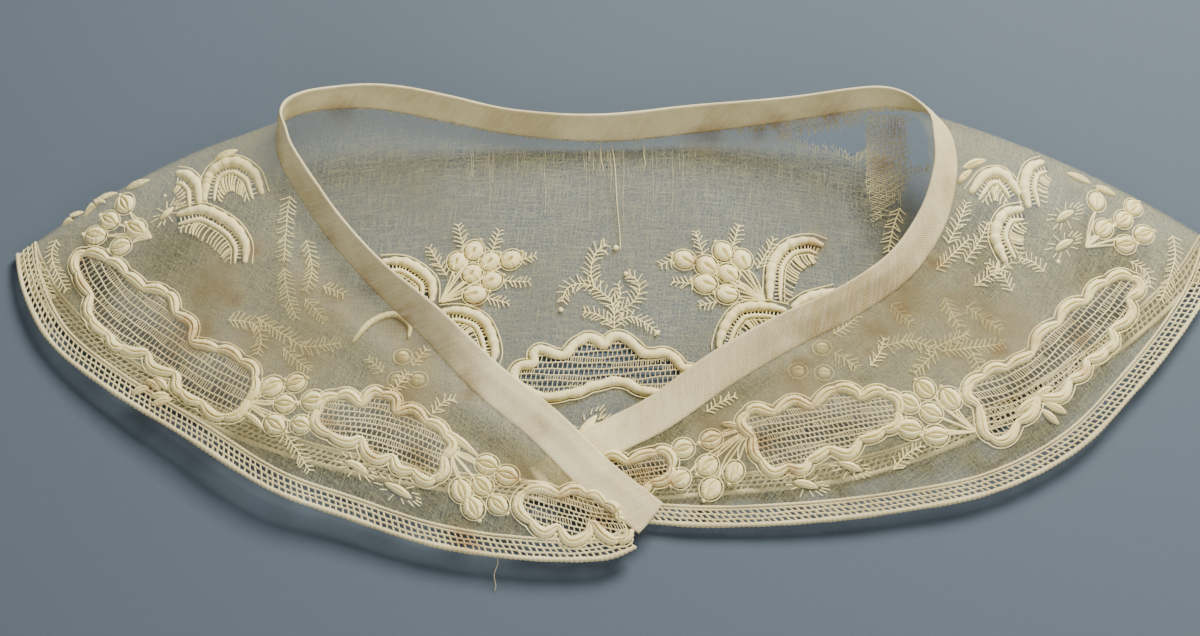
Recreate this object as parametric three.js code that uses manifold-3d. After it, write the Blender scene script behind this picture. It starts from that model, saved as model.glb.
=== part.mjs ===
// Embroidered muslin collar, folded at both shoulders and laid down, in millimetres with +Z up.
// X runs to the right along the collar, Y away from the front ends, and Z = 0 is the surface it lies on.
// The cloth is one sheet. It is described by sections that run from the neck seam to the hem, numbered
// from the left front end, over the left shoulder, across the back and over the right shoulder to the
// right front end. A spot on it is [along, up]: millimetres along the hem from the centre back section,
// and millimetres up from the hem towards the neck.
import * as THREE from 'three';
import { mergeVertices } from 'three/addons/utils/BufferGeometryUtils.js';
import Module from 'manifold-3d';

const wasm = await Module();
wasm.setup();

// Cloth, band and hem
const CLOTH = 1.0;
const BAND_WALL = 1.2;
const BAND_WIDTH = 10;
const BAND_TAIL = 6;
const BAND_STEPS = 80;
const EDGING_WIDTH = 6;
const GAP = 0.3;
const EDGING_GAP = 0.5;        // measured up the sections, which cross the hem at a slant in places
const CLOTH_STEP = 12;         // between lines across the cloth
const FOLD_STEP = 4;           // and where it turns over at the shoulders
const SEAM_ROOM = BAND_WALL / 2 + GAP + 0.05;

// Net panels: openings in two rows with a bar of cloth between, inside a padded cord
const OPENING_LENGTH = 6.2;
const BAR = 1.1;
const PANEL_HALF = 3.8;
const MIDDLE_BAR = 1.4;
const CORD_WIDTH = 3.0;
const CORD_HEIGHT = 1.2;
const LOBE_DEPTH = 1.4;
const RAISED_GAP = 0.6;        // between the cloth and the work raised on it

// Padded berries, stems and plumes
const BERRY_LENGTH = 5.6;
const BERRY_WIDTH = 4.6;
const BERRY_HEIGHT = 1.8;
const STEM_WIDTH = 1.0;
const STEM_HEIGHT = 0.8;
const PLUME_WIDTH = 2.8;
const PLUME_HEIGHT = 1.3;

// Sections of the cloth. neck and hem are [x, y, z] of the seam and of the outer edge. lean is the tilt
// of the band, in degrees up from level, towards the inside of the neck hole. settle is the share of the
// depth in which the cloth comes down to its hem's height. arch lifts the middle, and bow moves it away
// from the front ends. panel is how far up from the hem the middle line of the net panels lies.
const COLUMNS = ['name', 'neck', 'hem', 'lean', 'settle', 'arch', 'bow', 'panel'];
const SECTIONS = [
  ['left end', [0.6, -53.5, 5.6], [4.6, -60.7, 4.8], 10, 1, 0, 0, 8],
  ['left 1', [-10, -45, 6.2], [-5, -63.9, 4.8], 12, 1, 0.3, 0, 12.3],
  ['left 2', [-23.3, -31.4, 7], [-25.2, -63.7, 4.8], 16, 1, 0.8, 0, 16.5],
  ['left 3', [-37.7, -18.9, 7.8], [-48.1, -60.1, 5], 26, 1, 1.2, 0, 23.5],
  ['left 4', [-51.6, -3.7, 9], [-70, -52.9, 5.6], 46, 1, 1.5, 0, 25],
  ['left 5', [-64.5, 8.9, 10.5], [-89.8, -45.7, 7], 60, 1, 1, 0, 21],
  ['left 6', [-76.3, 22.3, 12.5], [-112.3, -31.3, 6.5], 64, 1, 0.5, 0, 18],
  ['left 7', [-84.6, 34, 14.5], [-134.2, -17, 5], 66, 1, 0.5, 0, 18.5],
  ['left 8', [-90, 42.6, 16.8], [-150, -3.9, 3.6], 66, 1, 0.5, 1, 18.5],
  ['left 9', [-91.6, 48.9, 18.4], [-158.8, 10.6, 3.1], 68, 1, 0.3, 3, 18],
  ['left fold', [-90.6, 53.8, 18.4], [-162.4, 22.8, 2], 80, 1, 0, 5, 20],
  ['back 0', [-87, 58, 16.6], [-160, 18, 0.5], 90, 1, 0, 3.5, 22],
  ['back 1', [-79, 61, 14.6], [-152, 6.2, 0.5], 96, 0.95, 0, 1, 26],
  ['back 2', [-65.4, 62.5, 12], [-131.6, -12, 0.5], 102, 0.7, 0, 0, 30],
  ['back 3', [-46.3, 60.6, 8], [-96, -31, 0.5], 106, 0.4, 0, 0, 33],
  ['back 4', [-28, 58.8, 4], [-56.7, -42, 0.5], 108, 0.4, 0, 0, 35],
  ['back middle', [-3.3, 57.7, 2.5], [-15.3, -46.9, 0.5], 108, 0.35, 0, 0, 36.5],
  ['back 6', [23, 59.7, 4], [26, -45, 0.5], 108, 0.4, 0, 0, 36.5],
  ['back 7', [45.6, 60.9, 8], [62, -40.5, 0.5], 104, 0.38, 0, 0, 34],
  ['back 8', [62.6, 61.8, 12], [96.8, -27.3, 0.5], 98, 0.7, 0, 0, 30],
  ['back 9', [72, 61.8, 14.6], [130, -6.9, 0.5], 90, 0.95, 0, 1, 26],
  ['back 10', [79.8, 60, 16.6], [153, 13, 0.5], 76, 1, 0, 3, 22],
  ['right fold', [86.4, 55.2, 18.4], [162.4, 25.2, 2], 62, 1, 0, 4.5, 20],
  ['right 9', [89.6, 48.1, 18.4], [158.6, 13.8, 3.2], 50, 1, 0.3, 2.5, 17],
  ['right 8', [89.8, 38.1, 16.3], [150, 0.2, 3.6], 46, 1, 0.5, 0.5, 17.5],
  ['right 7', [85.9, 25, 13.5], [136.3, -16.4, 3.8], 44, 1, 0.5, 0, 18.5],
  ['right 6', [76.8, 12.2, 11], [119.2, -33.6, 4], 42, 1, 0.8, 0, 20.5],
  ['right 5', [62, 1.8, 9], [97.7, -45, 4], 42, 1, 1, 0, 26],
  ['right 4', [45.5, -6.7, 7.5], [73, -50.5, 3.8], 38, 1, 1, 0, 27],
  ['right 3', [28.9, -16.6, 6], [46, -53.6, 3.2], 28, 1, 0.6, 0, 24],
  ['right 2', [12.9, -27.7, 4.2], [23.1, -54.2, 2.6], 14, 1, 0.2, 0, 17],
  ['right 1', [-1.4, -35, 3], [5.2, -53, 2.4], 4, 1, 0, 0, 13],
  ['right end', [-13, -43.2, 2.5], [-7.4, -51.4, 2.4], 1, 1, 0, 0, 8],
].map((row) => Object.fromEntries(COLUMNS.map((column, n) => [column, row[n]])));
const LAST = SECTIONS.length - 1;
const TABLE_CENTRE = [0.1, 0.4, 0];   // the middle of the finished collar, in the table's own X and Y
const CENTRE_BACK = SECTIONS.findIndex((row) => row.name === 'back middle');
const FOLD_PLACES = [[9, 11.8], [20.6, 23]];

// Net panels: the stretch of the hem that each lies over, half its height, and the lobes of its cord
const PANEL_COLUMNS = ['name', 'from', 'to', 'half', 'lobes'];
const PANELS = [
  ['left_end', -370, -341, 4.4, 8],
  ['left_front', -318, -279, 7, 12],
  ['left_side', -254, -184, 7.6, 18],
  ['back', -20, 35, 7.2, 14],
  ['right_side', 223, 287, 7, 16],
  ['right_front', 312, 350, 7, 12],
  ['right_end', 382, 396, 3.6, 5],
].map((row) => Object.fromEntries(PANEL_COLUMNS.map((column, n) => [column, row[n]])));

// Sprays of berries: the spot where the stems meet, and the middle of each berry
const SPRAYS = {
  left_side: {
    root: [-258, 16],
    berries: [[-261, 23], [-267, 29], [-267, 22], [-274, 27], [-275, 20], [-268, 15]],
  },
  left_front: {
    root: [-321, 25],
    berries: [[-328, 24], [-336, 22], [-323, 16], [-330, 17], [-327, 11], [-335, 12]],
  },
  left_shoulder: {
    root: [-174, 25],
    berries: [[-175, 33], [-180, 28], [-181, 22], [-187, 34], [-189, 28]],
  },
  back_left: {
    root: [-48, 54],
    berries: [[-44, 70], [-49, 65], [-42, 63], [-36, 68], [-29, 68], [-34, 61], [-38, 56]],
  },
  back_right: {
    root: [58, 55],
    berries: [[33, 68], [41, 67], [47, 70], [53, 66], [48, 62], [40, 60], [46, 56]],
  },
  right_shoulder: {
    root: [204, 31],
    berries: [[208, 37], [209, 30], [216, 33], [211, 23], [217, 26], [203, 25]],
  },
  right_side: {
    root: [291, 18],
    berries: [[297, 33], [292, 28], [304, 32], [300, 26], [308, 26], [303, 20]],
  },
  right_front: {
    root: [353, 28],
    berries: [[364, 26], [373, 23], [368, 17], [361, 16], [370, 11], [377, 14]],
  },
};

// Plumes: the middle line of each padded curl, through a few spots
const PLUMES = {
  back_left: [
    [[-80, 60], [-70, 62], [-61, 61], [-55, 57], [-52, 49]],
    [[-52, 49], [-45, 50], [-35, 49], [-29, 46], [-26, 41], [-26, 37]],
  ],
  back_right: [
    [[63, 50], [62, 54], [63, 60], [65, 65], [69, 68], [75, 68], [80, 65]],
    [[63, 50], [58, 50], [51, 50], [46, 48], [44, 44], [43, 40]],
    [[63, 50], [74, 54], [84, 53]],
  ],
  left_shoulder: [
    [[-193, 50], [-185, 54], [-179, 51], [-175, 46]],
    [[-193, 50], [-184, 59], [-186, 67], [-197, 70], [-208, 67]],
    [[-193, 50], [-201, 55], [-210, 56], [-219, 53], [-225, 47]],
  ],
  right_shoulder: [
    [[221, 53], [216, 57], [208, 57], [201, 52]],
    [[221, 53], [217, 61], [222, 67], [231, 67]],
    [[221, 53], [230, 57], [239, 55], [246, 47]],
  ],
};

// The value of one column between two sections
function between(column, place) {
  const first = Math.min(Math.max(Math.floor(place), 0), LAST - 1);
  const f = place - first;
  const at = (n) => column(SECTIONS[Math.min(Math.max(n, 0), LAST)]);
  const [a, b, c, d] = [at(first - 1), at(first), at(first + 1), at(first + 2)];
  return b + 0.5 * f * (c - a + f * (2 * a - 5 * b + 4 * c - d + f * (3 * (b - c) + d - a)));
}

function edgePoint(edge, place) {
  const from = (axis) => between((row) => row[edge][axis], place) - TABLE_CENTRE[axis];
  return new THREE.Vector3(from(0), from(1), from(2));
}

function depthAt(place) {
  return edgePoint('neck', place).distanceTo(edgePoint('hem', place));
}

// A point of the cloth's middle surface, up millimetres from the hem
function clothPoint(place, up) {
  const neck = edgePoint('neck', place);
  const hem = edgePoint('hem', place);
  const share = 1 - up / neck.distanceTo(hem);
  const settle = between((row) => row.settle, place);
  const power = 1 + THREE.MathUtils.clamp((1 - settle) * 5, 0, 0.5);
  const hump = 4 * share * (1 - share);
  const point = neck.clone().lerp(hem, share);
  const fall = Math.max(0, 1 - share / settle) ** power;
  const height = hem.z + (neck.z - hem.z) * fall + between((row) => row.arch, place) * hump;
  point.y += between((row) => row.bow, place) * hump;
  point.z = Math.max(CLOTH / 2, height);
  return point;
}

// Directions at a spot of the cloth: along the hem, up towards the neck, and off its right side
function clothFrame(place, up) {
  const step = 0.02;
  const [before, after] = [Math.max(place - step, 0), Math.min(place + step, LAST)];
  const along = clothPoint(after, up).sub(clothPoint(before, up)).normalize();
  const rise = clothPoint(place, up + 0.2).sub(clothPoint(place, up - 0.2)).normalize();
  const normal = new THREE.Vector3().crossVectors(rise, along).normalize();
  return { point: clothPoint(place, up), along, rise, normal };
}

// Length along the hem, measured from the centre back section
const MEASURE_STEPS = 20;
const hemLength = [0];
for (let n = 1; n <= LAST * MEASURE_STEPS; n += 1) {
  const step = edgePoint('hem', n / MEASURE_STEPS).distanceTo(edgePoint('hem', (n - 1) / MEASURE_STEPS));
  hemLength.push(hemLength[n - 1] + step);
}
const zeroLength = hemLength[CENTRE_BACK * MEASURE_STEPS];

function placeOf(along) {
  const wanted = along + zeroLength;
  let n = 0;
  while (n < hemLength.length - 2 && hemLength[n + 1] < wanted) n += 1;
  return (n + (wanted - hemLength[n]) / (hemLength[n + 1] - hemLength[n])) / MEASURE_STEPS;
}

// Solids from rings of points. Each ring joins the next, and the ends are closed or join each other.
function solidFromTriangles(points, triangles) {
  const geometry = new THREE.BufferGeometry();
  geometry.setAttribute('position', new THREE.Float32BufferAttribute(points.flatMap((p) => p.toArray()), 3));
  let volume = 0;
  for (const [a, b, c] of triangles) {
    volume += points[a].dot(new THREE.Vector3().crossVectors(points[b], points[c]));
  }
  const faces = volume < 0 ? triangles.map(([a, b, c]) => [a, c, b]) : triangles;
  geometry.setIndex(faces.flat());
  return geometry;
}

function loft(rings, joined = false) {
  const count = rings[0].length;
  const triangles = [];
  for (let r = 0; r < rings.length - (joined ? 0 : 1); r += 1) {
    const next = (r + 1) % rings.length;
    for (let k = 0; k < count; k += 1) {
      const [a, b] = [r * count + k, r * count + (k + 1) % count];
      const [c, d] = [next * count + k, next * count + (k + 1) % count];
      triangles.push([a, b, d], [a, d, c]);
    }
  }
  if (!joined) {
    const end = (rings.length - 1) * count;
    for (let k = 1; k < count - 1; k += 1) {
      triangles.push([0, k + 1, k], [end, end + k, end + k + 1]);
    }
  }
  return solidFromTriangles(rings.flat(), triangles);
}

// Places for the lines across the cloth, close together at the folds
function stepAt(place) {
  return FOLD_PLACES.some(([from, to]) => place > from && place < to) ? FOLD_STEP : CLOTH_STEP;
}

function linesAcross() {
  const lines = [];
  const start = -zeroLength;
  const end = hemLength[hemLength.length - 1] - zeroLength;
  const windows = PANELS.map((panel) => {
    const margin = panel.half - CORD_WIDTH / 2;
    const room = panel.to - panel.from - 2 * margin;
    const openings = Math.max(2, Math.floor((room + BAR) / (OPENING_LENGTH + BAR)));
    const middle = (panel.from + panel.to) / 2;
    return { from: middle - (openings * (OPENING_LENGTH + BAR) - BAR) / 2, openings };
  });
  let along = start;
  for (const window of windows) {
    addEvenLines(lines, along, window.from);
    along = window.from;
    for (let n = 0; n < window.openings; n += 1) {
      lines.push({ along, open: true });
      along += OPENING_LENGTH;
      if (n < window.openings - 1) {
        lines.push({ along, open: false });
        along += BAR;
      }
    }
  }
  addEvenLines(lines, along, end);
  lines.push({ along: end, open: false });
  return lines;
}

function addEvenLines(lines, from, to) {
  let along = from;
  while (along < to - 1) {
    lines.push({ along, open: false });
    const step = stepAt(placeOf(along));
    along += to - along < 1.6 * step ? to - along : step;
  }
}

// Heights up from the hem of the lines along the cloth, at one place
function linesAlong(place) {
  const depth = depthAt(place);
  const frame = clothFrame(place, depth - 0.5);
  const seam = edgePoint('neck', Math.min(place + 0.05, LAST)).sub(edgePoint('neck', Math.max(place - 0.05, 0)));
  const crossing = Math.sqrt(Math.max(0, 1 - seam.normalize().dot(frame.rise) ** 2));
  const top = depth - SEAM_ROOM / Math.max(crossing, 0.35);
  const bottom = EDGING_WIDTH + EDGING_GAP;
  const room = top - bottom;
  const half = Math.min(PANEL_HALF, 0.2 * room);
  const bar = half * MIDDLE_BAR / (2 * PANEL_HALF);
  const middle = THREE.MathUtils.clamp(
    between((row) => row.panel, place), bottom + 0.35 * room, bottom + 0.65 * room);
  const heights = [];
  for (const n of [0, 1, 2, 3]) heights.push(THREE.MathUtils.lerp(top, middle + half, n / 4));
  heights.push(middle + half, middle + bar, middle - bar, middle - half);
  heights.push((middle - half + bottom) / 2, bottom);
  return heights;
}
const OPEN_ROWS = [4, 6];

// The muslin: two faces half a wall to each side of the middle surface, with walls at every edge
function makeMuslin() {
  const lines = linesAcross();
  const points = [];
  const heights = lines.map((line) => linesAlong(placeOf(line.along)));
  const rowCount = heights[0].length;
  lines.forEach((line, column) => {
    const place = placeOf(line.along);
    for (const up of heights[column]) {
      const frame = clothFrame(place, up);
      points.push(frame.point.clone().addScaledVector(frame.normal, CLOTH / 2));
      points.push(frame.point.clone().addScaledVector(frame.normal, -CLOTH / 2));
    }
  });
  const top = (column, row) => 2 * (column * rowCount + row);
  const bottom = (column, row) => top(column, row) + 1;
  const present = (column, row) => {
    if (column < 0 || row < 0 || column >= lines.length - 1 || row >= rowCount - 1) return false;
    return !(lines[column].open && OPEN_ROWS.includes(row));
  };
  const triangles = [];
  const quad = (a, b, c, d) => triangles.push([a, b, c], [a, c, d]);
  for (let column = 0; column < lines.length - 1; column += 1) {
    for (let row = 0; row < rowCount - 1; row += 1) {
      if (!present(column, row)) continue;
      const corners = [[column, row], [column + 1, row], [column + 1, row + 1], [column, row + 1]];
      const outside = [[column, row - 1], [column + 1, row], [column, row + 1], [column - 1, row]];
      quad(...corners.map(([c, r]) => top(c, r)));
      quad(...corners.map(([c, r]) => bottom(c, r)).reverse());
      outside.forEach((neighbour, side) => {
        if (present(...neighbour)) return;
        const [a, b] = [corners[side], corners[(side + 1) % 4]];
        quad(top(...b), top(...a), bottom(...a), bottom(...b));
      });
    }
  }
  return solidFromTriangles(points, triangles);
}

// The neckband: a flat strip whose seam edge follows the cloth and whose width leans as the table says
function makeNeckband() {
  const tail = BAND_TAIL;
  const rings = [];
  for (let n = -2; n <= BAND_STEPS + 2; n += 1) {
    const place = THREE.MathUtils.clamp(n / BAND_STEPS, 0, 1) * LAST;
    const before = edgePoint('neck', Math.max(place - 0.05, 0));
    const tangent = edgePoint('neck', Math.min(place + 0.05, LAST)).sub(before).normalize();
    const beyond = n < 0 ? n / 2 : Math.max(0, n - BAND_STEPS) / 2;
    const seam = edgePoint('neck', place).addScaledVector(tangent, beyond * tail);
    const lean = THREE.MathUtils.degToRad(between((row) => row.lean, place));
    const inward = new THREE.Vector3(tangent.y, -tangent.x, 0).normalize();
    const across = inward.multiplyScalar(Math.cos(lean)).add(new THREE.Vector3(0, 0, Math.sin(lean)));
    const off = new THREE.Vector3().crossVectors(tangent, across).normalize();
    rings.push([[0, 1], [BAND_WIDTH, 1], [BAND_WIDTH, -1], [0, -1]].map(([width, side]) => (
      seam.clone().addScaledVector(across, width).addScaledVector(off, side * BAND_WALL / 2))));
  }
  return loft(rings);
}

function makeHemEdging() {
  return loft(linesAcross().map(({ along }) => {
    const place = placeOf(along);
    return [[EDGING_WIDTH, 1], [0, 1], [0, -1], [EDGING_WIDTH, -1]].map(([up, side]) => {
      const frame = clothFrame(place, up);
      return frame.point.addScaledVector(frame.normal, side * CLOTH / 2);
    });
  }));
}

// Raised work lies on the face that is uppermost as the collar lies
function upperFrame([along, up]) {
  const frame = clothFrame(placeOf(along), up);
  if (frame.normal.z < 0) frame.normal.negate();
  frame.point.addScaledVector(frame.normal, CLOTH / 2 + RAISED_GAP);
  return frame;
}

// A padded cord along spots of the cloth, flat below and narrower on top
const CORD_SECTION = [[-0.5, 0], [-0.28, 1], [0.28, 1], [0.5, 0]];
const STEM_SECTION = [[-0.5, 0], [0, 1], [0.5, 0]];
function paddedCord(spots, width, height, joined = false, section = CORD_SECTION) {
  const frames = spots.map(upperFrame);
  const rings = frames.map((frame, n) => {
    const ends = joined
      ? [frames[(n + frames.length - 1) % frames.length], frames[(n + 1) % frames.length]]
      : [frames[Math.max(n - 1, 0)], frames[Math.min(n + 1, frames.length - 1)]];
    const ahead = ends[1].point.clone().sub(ends[0].point).normalize();
    const aside = new THREE.Vector3().crossVectors(frame.normal, ahead).normalize();
    return section.map(([across, rise]) => (
      frame.point.clone().addScaledVector(aside, across * width).addScaledVector(frame.normal, rise * height)));
  });
  return loft(rings, joined);
}

// The outline of a net panel: a long loop round the panel's middle line, with lobes that meet in cusps
const SPOTS_IN_LOBE = 3;
function panelOutline(panel) {
  const half = panel.half - CORD_WIDTH / 2;
  const straight = panel.to - panel.from - 2 * panel.half;
  const round = Math.PI * half;
  const total = 2 * straight + 2 * round;
  const start = panel.from + panel.half;
  const count = panel.lobes * SPOTS_IN_LOBE;
  return Array.from({ length: count }, (_, n) => {
    const length = total * n / count;
    const swell = half + LOBE_DEPTH * (Math.abs(Math.sin(Math.PI * n / SPOTS_IN_LOBE)) - 0.7);
    let spot;
    if (length < straight) spot = [start + length, swell];
    else if (length < straight + round) {
      const turn = (length - straight) / half;
      spot = [start + straight + swell * Math.sin(turn), swell * Math.cos(turn)];
    } else if (length < 2 * straight + round) spot = [start + 2 * straight + round - length, -swell];
    else {
      const turn = (length - 2 * straight - round) / half;
      spot = [start - swell * Math.sin(turn), -swell * Math.cos(turn)];
    }
    return [spot[0], spot[1] + between((row) => row.panel, placeOf(spot[0]))];
  });
}

// A berry: a low dome, longer away from the stems
const BERRY_SIDES = 6;
function makeBerry(spot, root) {
  const frame = upperFrame(spot);
  const away = frame.point.clone().sub(upperFrame(root).point);
  const long = away.projectOnPlane(frame.normal).normalize();
  const wide = new THREE.Vector3().crossVectors(frame.normal, long);
  const ring = (size, height) => Array.from({ length: BERRY_SIDES }, (_, n) => {
    const turn = 2 * Math.PI * n / BERRY_SIDES;
    return frame.point.clone()
      .addScaledVector(long, Math.cos(turn) * size * BERRY_LENGTH / 2)
      .addScaledVector(wide, Math.sin(turn) * size * BERRY_WIDTH / 2)
      .addScaledVector(frame.normal, height * BERRY_HEIGHT);
  });
  return loft([ring(1, 0), ring(0.55, 1)]);
}

// Pieces worked as one, such as berries on their stems, are joined to one body
function toSolid(geometry) {
  const bare = geometry.clone();
  bare.deleteAttribute('normal');
  bare.deleteAttribute('uv');
  const merged = mergeVertices(bare, 1e-4);
  const vertProperties = new Float32Array(merged.attributes.position.array);
  const triVerts = new Uint32Array(merged.index.array);
  return new wasm.Manifold(new wasm.Mesh({ numProp: 3, vertProperties, triVerts }));
}

function joinAll(geometries) {
  const whole = geometries.map(toSolid).reduce((sum, solid) => sum.add(solid));
  const mesh = whole.getMesh();
  const geometry = new THREE.BufferGeometry();
  geometry.setAttribute('position', new THREE.BufferAttribute(new Float32Array(mesh.vertProperties), 3));
  geometry.setIndex(new THREE.BufferAttribute(new Uint32Array(mesh.triVerts), 1));
  return geometry;
}

function makeSpray({ root, berries }) {
  const stems = berries.map((berry) => paddedCord([root, berry], STEM_WIDTH, STEM_HEIGHT, false, STEM_SECTION));
  return joinAll([...berries.map((berry) => makeBerry(berry, root)), ...stems]);
}

// A smooth run of spots through the few that are given
const SPOTS_IN_PLUME = 7;
function smoothRun(spots) {
  const curve = new THREE.CatmullRomCurve3(spots.map(([along, up]) => new THREE.Vector3(along, up, 0)));
  return curve.getPoints(SPOTS_IN_PLUME).map((point) => [point.x, point.y]);
}

function makePlumes(curls) {
  return joinAll(curls.map((spots) => paddedCord(smoothRun(spots), PLUME_WIDTH, PLUME_HEIGHT)));
}

const COLOURS = {
  muslin: [0xcfc9b4, 0.9],
  band: [0xd2bd93, 0.85],
  edging: [0xd9cfb2, 0.9],
  padding: [0xe9dcb8, 0.7],
};

function addPiece(group, name, colour, geometry) {
  const [color, roughness] = COLOURS[colour];
  const flat = geometry.toNonIndexed();
  flat.computeVertexNormals();
  const mesh = new THREE.Mesh(flat, new THREE.MeshStandardMaterial({ color, roughness, metalness: 0 }));
  mesh.name = name;
  group.add(mesh);
}

const collar = new THREE.Group();
addPiece(collar, 'muslin_ground', 'muslin', makeMuslin());
addPiece(collar, 'neckband', 'band', makeNeckband());
addPiece(collar, 'hem_edging', 'edging', makeHemEdging());
for (const panel of PANELS) {
  const cord = paddedCord(panelOutline(panel), CORD_WIDTH, CORD_HEIGHT, true);
  addPiece(collar, `panel_border_${panel.name}`, 'padding', cord);
}
for (const [name, spray] of Object.entries(SPRAYS)) {
  addPiece(collar, `berries_${name}`, 'padding', makeSpray(spray));
}
for (const [name, curls] of Object.entries(PLUMES)) {
  addPiece(collar, `plumes_${name}`, 'padding', makePlumes(curls));
}

export default collar;
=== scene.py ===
# %% [markdown]
# # An embroidered muslin collar, folded and laid down
# The real thing is one sheet of very fine cotton muslin, worked by hand in white cotton. It could be
# made as a few pictures on a plane, but it would have no depth from the side. Here every thread that
# can be seen is a piece of geometry, laid on one surface that all the pieces share.

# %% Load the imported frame
import math

import bmesh
import bpy
import numpy as np
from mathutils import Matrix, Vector


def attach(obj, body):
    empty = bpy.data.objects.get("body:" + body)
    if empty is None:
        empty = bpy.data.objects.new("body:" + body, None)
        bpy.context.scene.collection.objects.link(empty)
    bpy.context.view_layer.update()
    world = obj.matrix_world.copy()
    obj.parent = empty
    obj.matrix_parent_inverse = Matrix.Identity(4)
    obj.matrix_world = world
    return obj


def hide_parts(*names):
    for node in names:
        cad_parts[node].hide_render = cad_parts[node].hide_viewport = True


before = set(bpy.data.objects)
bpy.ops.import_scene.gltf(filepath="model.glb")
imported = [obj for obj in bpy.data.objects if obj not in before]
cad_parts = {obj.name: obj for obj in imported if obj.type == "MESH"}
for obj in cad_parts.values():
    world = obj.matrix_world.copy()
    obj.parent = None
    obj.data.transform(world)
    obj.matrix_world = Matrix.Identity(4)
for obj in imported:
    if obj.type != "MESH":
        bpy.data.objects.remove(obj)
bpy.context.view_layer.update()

# %% [markdown]
# ## Sizes and the sections of the cloth
# A collar is hard to hold as loose points, because its front, back and folds are one sheet. The table
# gives sections from the neck seam to the hem, in millimetres, and everything else is placed on them.

# %% Driving sizes, in millimetres unless said
MM = 0.001
CLOTH_REST = 0.5               # lowest height of the middle of the cloth
THREAD_CLOTH = 0.2             # thickness of the real muslin
BAND_WIDTH = 10
BAND_ROUND = 2.2 * BAND_WIDTH  # round the band's section, both sides and the fold
BAND_TAIL = 6
EDGING_WIDTH = 6
CORD_WIDTH = 2.8
CORD_HEIGHT = 1.3
BERRY_LENGTH = 5.6
BERRY_WIDTH = 4.6
BERRY_HEIGHT = 1.6
PLUME_WIDTH = 2.9
PLUME_HEIGHT = 1.4
STITCH = 0.56                  # from one satin stitch to the next
TABLE_CENTRE = np.array([0.1, 0.4, 0])
print("neckband", BAND_WIDTH, "mm wide, drawn hem", EDGING_WIDTH, "mm wide")

# %% Sections: name, neck seam, hem edge, lean of the band, settle, arch, bow, height of the net panels
SECTIONS = [
    ("left end", (0.6, -53.5, 5.6), (4.6, -60.7, 4.8), 10, 1, 0, 0, 8),
    ("left 1", (-10, -45, 6.2), (-5, -63.9, 4.8), 12, 1, 0.3, 0, 12.3),
    ("left 2", (-23.3, -31.4, 7), (-25.2, -63.7, 4.8), 16, 1, 0.8, 0, 16.5),
    ("left 3", (-37.7, -18.9, 7.8), (-48.1, -60.1, 5), 26, 1, 1.2, 0, 23.5),
    ("left 4", (-51.6, -3.7, 9), (-70, -52.9, 5.6), 46, 1, 1.5, 0, 25),
    ("left 5", (-64.5, 8.9, 10.5), (-89.8, -45.7, 7), 60, 1, 1, 0, 21),
    ("left 6", (-76.3, 22.3, 12.5), (-112.3, -31.3, 6.5), 64, 1, 0.5, 0, 18),
    ("left 7", (-84.6, 34, 14.5), (-134.2, -17, 5), 66, 1, 0.5, 0, 18.5),
    ("left 8", (-90, 42.6, 16.8), (-150, -3.9, 3.6), 66, 1, 0.5, 1, 18.5),
    ("left 9", (-91.6, 48.9, 18.4), (-158.8, 10.6, 3.1), 68, 1, 0.3, 3, 18),
    ("left fold", (-90.6, 53.8, 18.4), (-162.4, 22.8, 2), 80, 1, 0, 5, 20),
    ("back 0", (-87, 58, 16.6), (-160, 18, 0.5), 90, 1, 0, 3.5, 22),
    ("back 1", (-79, 61, 14.6), (-152, 6.2, 0.5), 96, 0.95, 0, 1, 26),
    ("back 2", (-65.4, 62.5, 12), (-131.6, -12, 0.5), 102, 0.7, 0, 0, 30),
    ("back 3", (-46.3, 60.6, 8), (-96, -31, 0.5), 106, 0.4, 0, 0, 33),
    ("back 4", (-28, 58.8, 4), (-56.7, -42, 0.5), 108, 0.4, 0, 0, 35),
    ("back middle", (-3.3, 57.7, 2.5), (-15.3, -46.9, 0.5), 108, 0.35, 0, 0, 36.5),
    ("back 6", (23, 59.7, 4), (26, -45, 0.5), 108, 0.4, 0, 0, 36.5),
    ("back 7", (45.6, 60.9, 8), (62, -40.5, 0.5), 104, 0.38, 0, 0, 34),
    ("back 8", (62.6, 61.8, 12), (96.8, -27.3, 0.5), 98, 0.7, 0, 0, 30),
    ("back 9", (72, 61.8, 14.6), (130, -6.9, 0.5), 90, 0.95, 0, 1, 26),
    ("back 10", (79.8, 60, 16.6), (153, 13, 0.5), 76, 1, 0, 3, 22),
    ("right fold", (86.4, 55.2, 18.4), (162.4, 25.2, 2), 62, 1, 0, 4.5, 20),
    ("right 9", (89.6, 48.1, 18.4), (158.6, 13.8, 3.2), 50, 1, 0.3, 2.5, 17),
    ("right 8", (89.8, 38.1, 16.3), (150, 0.2, 3.6), 46, 1, 0.5, 0.5, 17.5),
    ("right 7", (85.9, 25, 13.5), (136.3, -16.4, 3.8), 44, 1, 0.5, 0, 18.5),
    ("right 6", (76.8, 12.2, 11), (119.2, -33.6, 4), 42, 1, 0.8, 0, 20.5),
    ("right 5", (62, 1.8, 9), (97.7, -45, 4), 42, 1, 1, 0, 26),
    ("right 4", (45.5, -6.7, 7.5), (73, -50.5, 3.8), 38, 1, 1, 0, 27),
    ("right 3", (28.9, -16.6, 6), (46, -53.6, 3.2), 28, 1, 0.6, 0, 24),
    ("right 2", (12.9, -27.7, 4.2), (23.1, -54.2, 2.6), 14, 1, 0.2, 0, 17),
    ("right 1", (-1.4, -35, 3), (5.2, -53, 2.4), 4, 1, 0, 0, 13),
    ("right end", (-13, -43.2, 2.5), (-7.4, -51.4, 2.4), 1, 1, 0, 0, 8),
]
LAST = len(SECTIONS) - 1
CENTRE_BACK = [row[0] for row in SECTIONS].index("back middle")
NECK, HEM = (np.array([row[column] for row in SECTIONS]) - TABLE_CENTRE for column in (1, 2))
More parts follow.
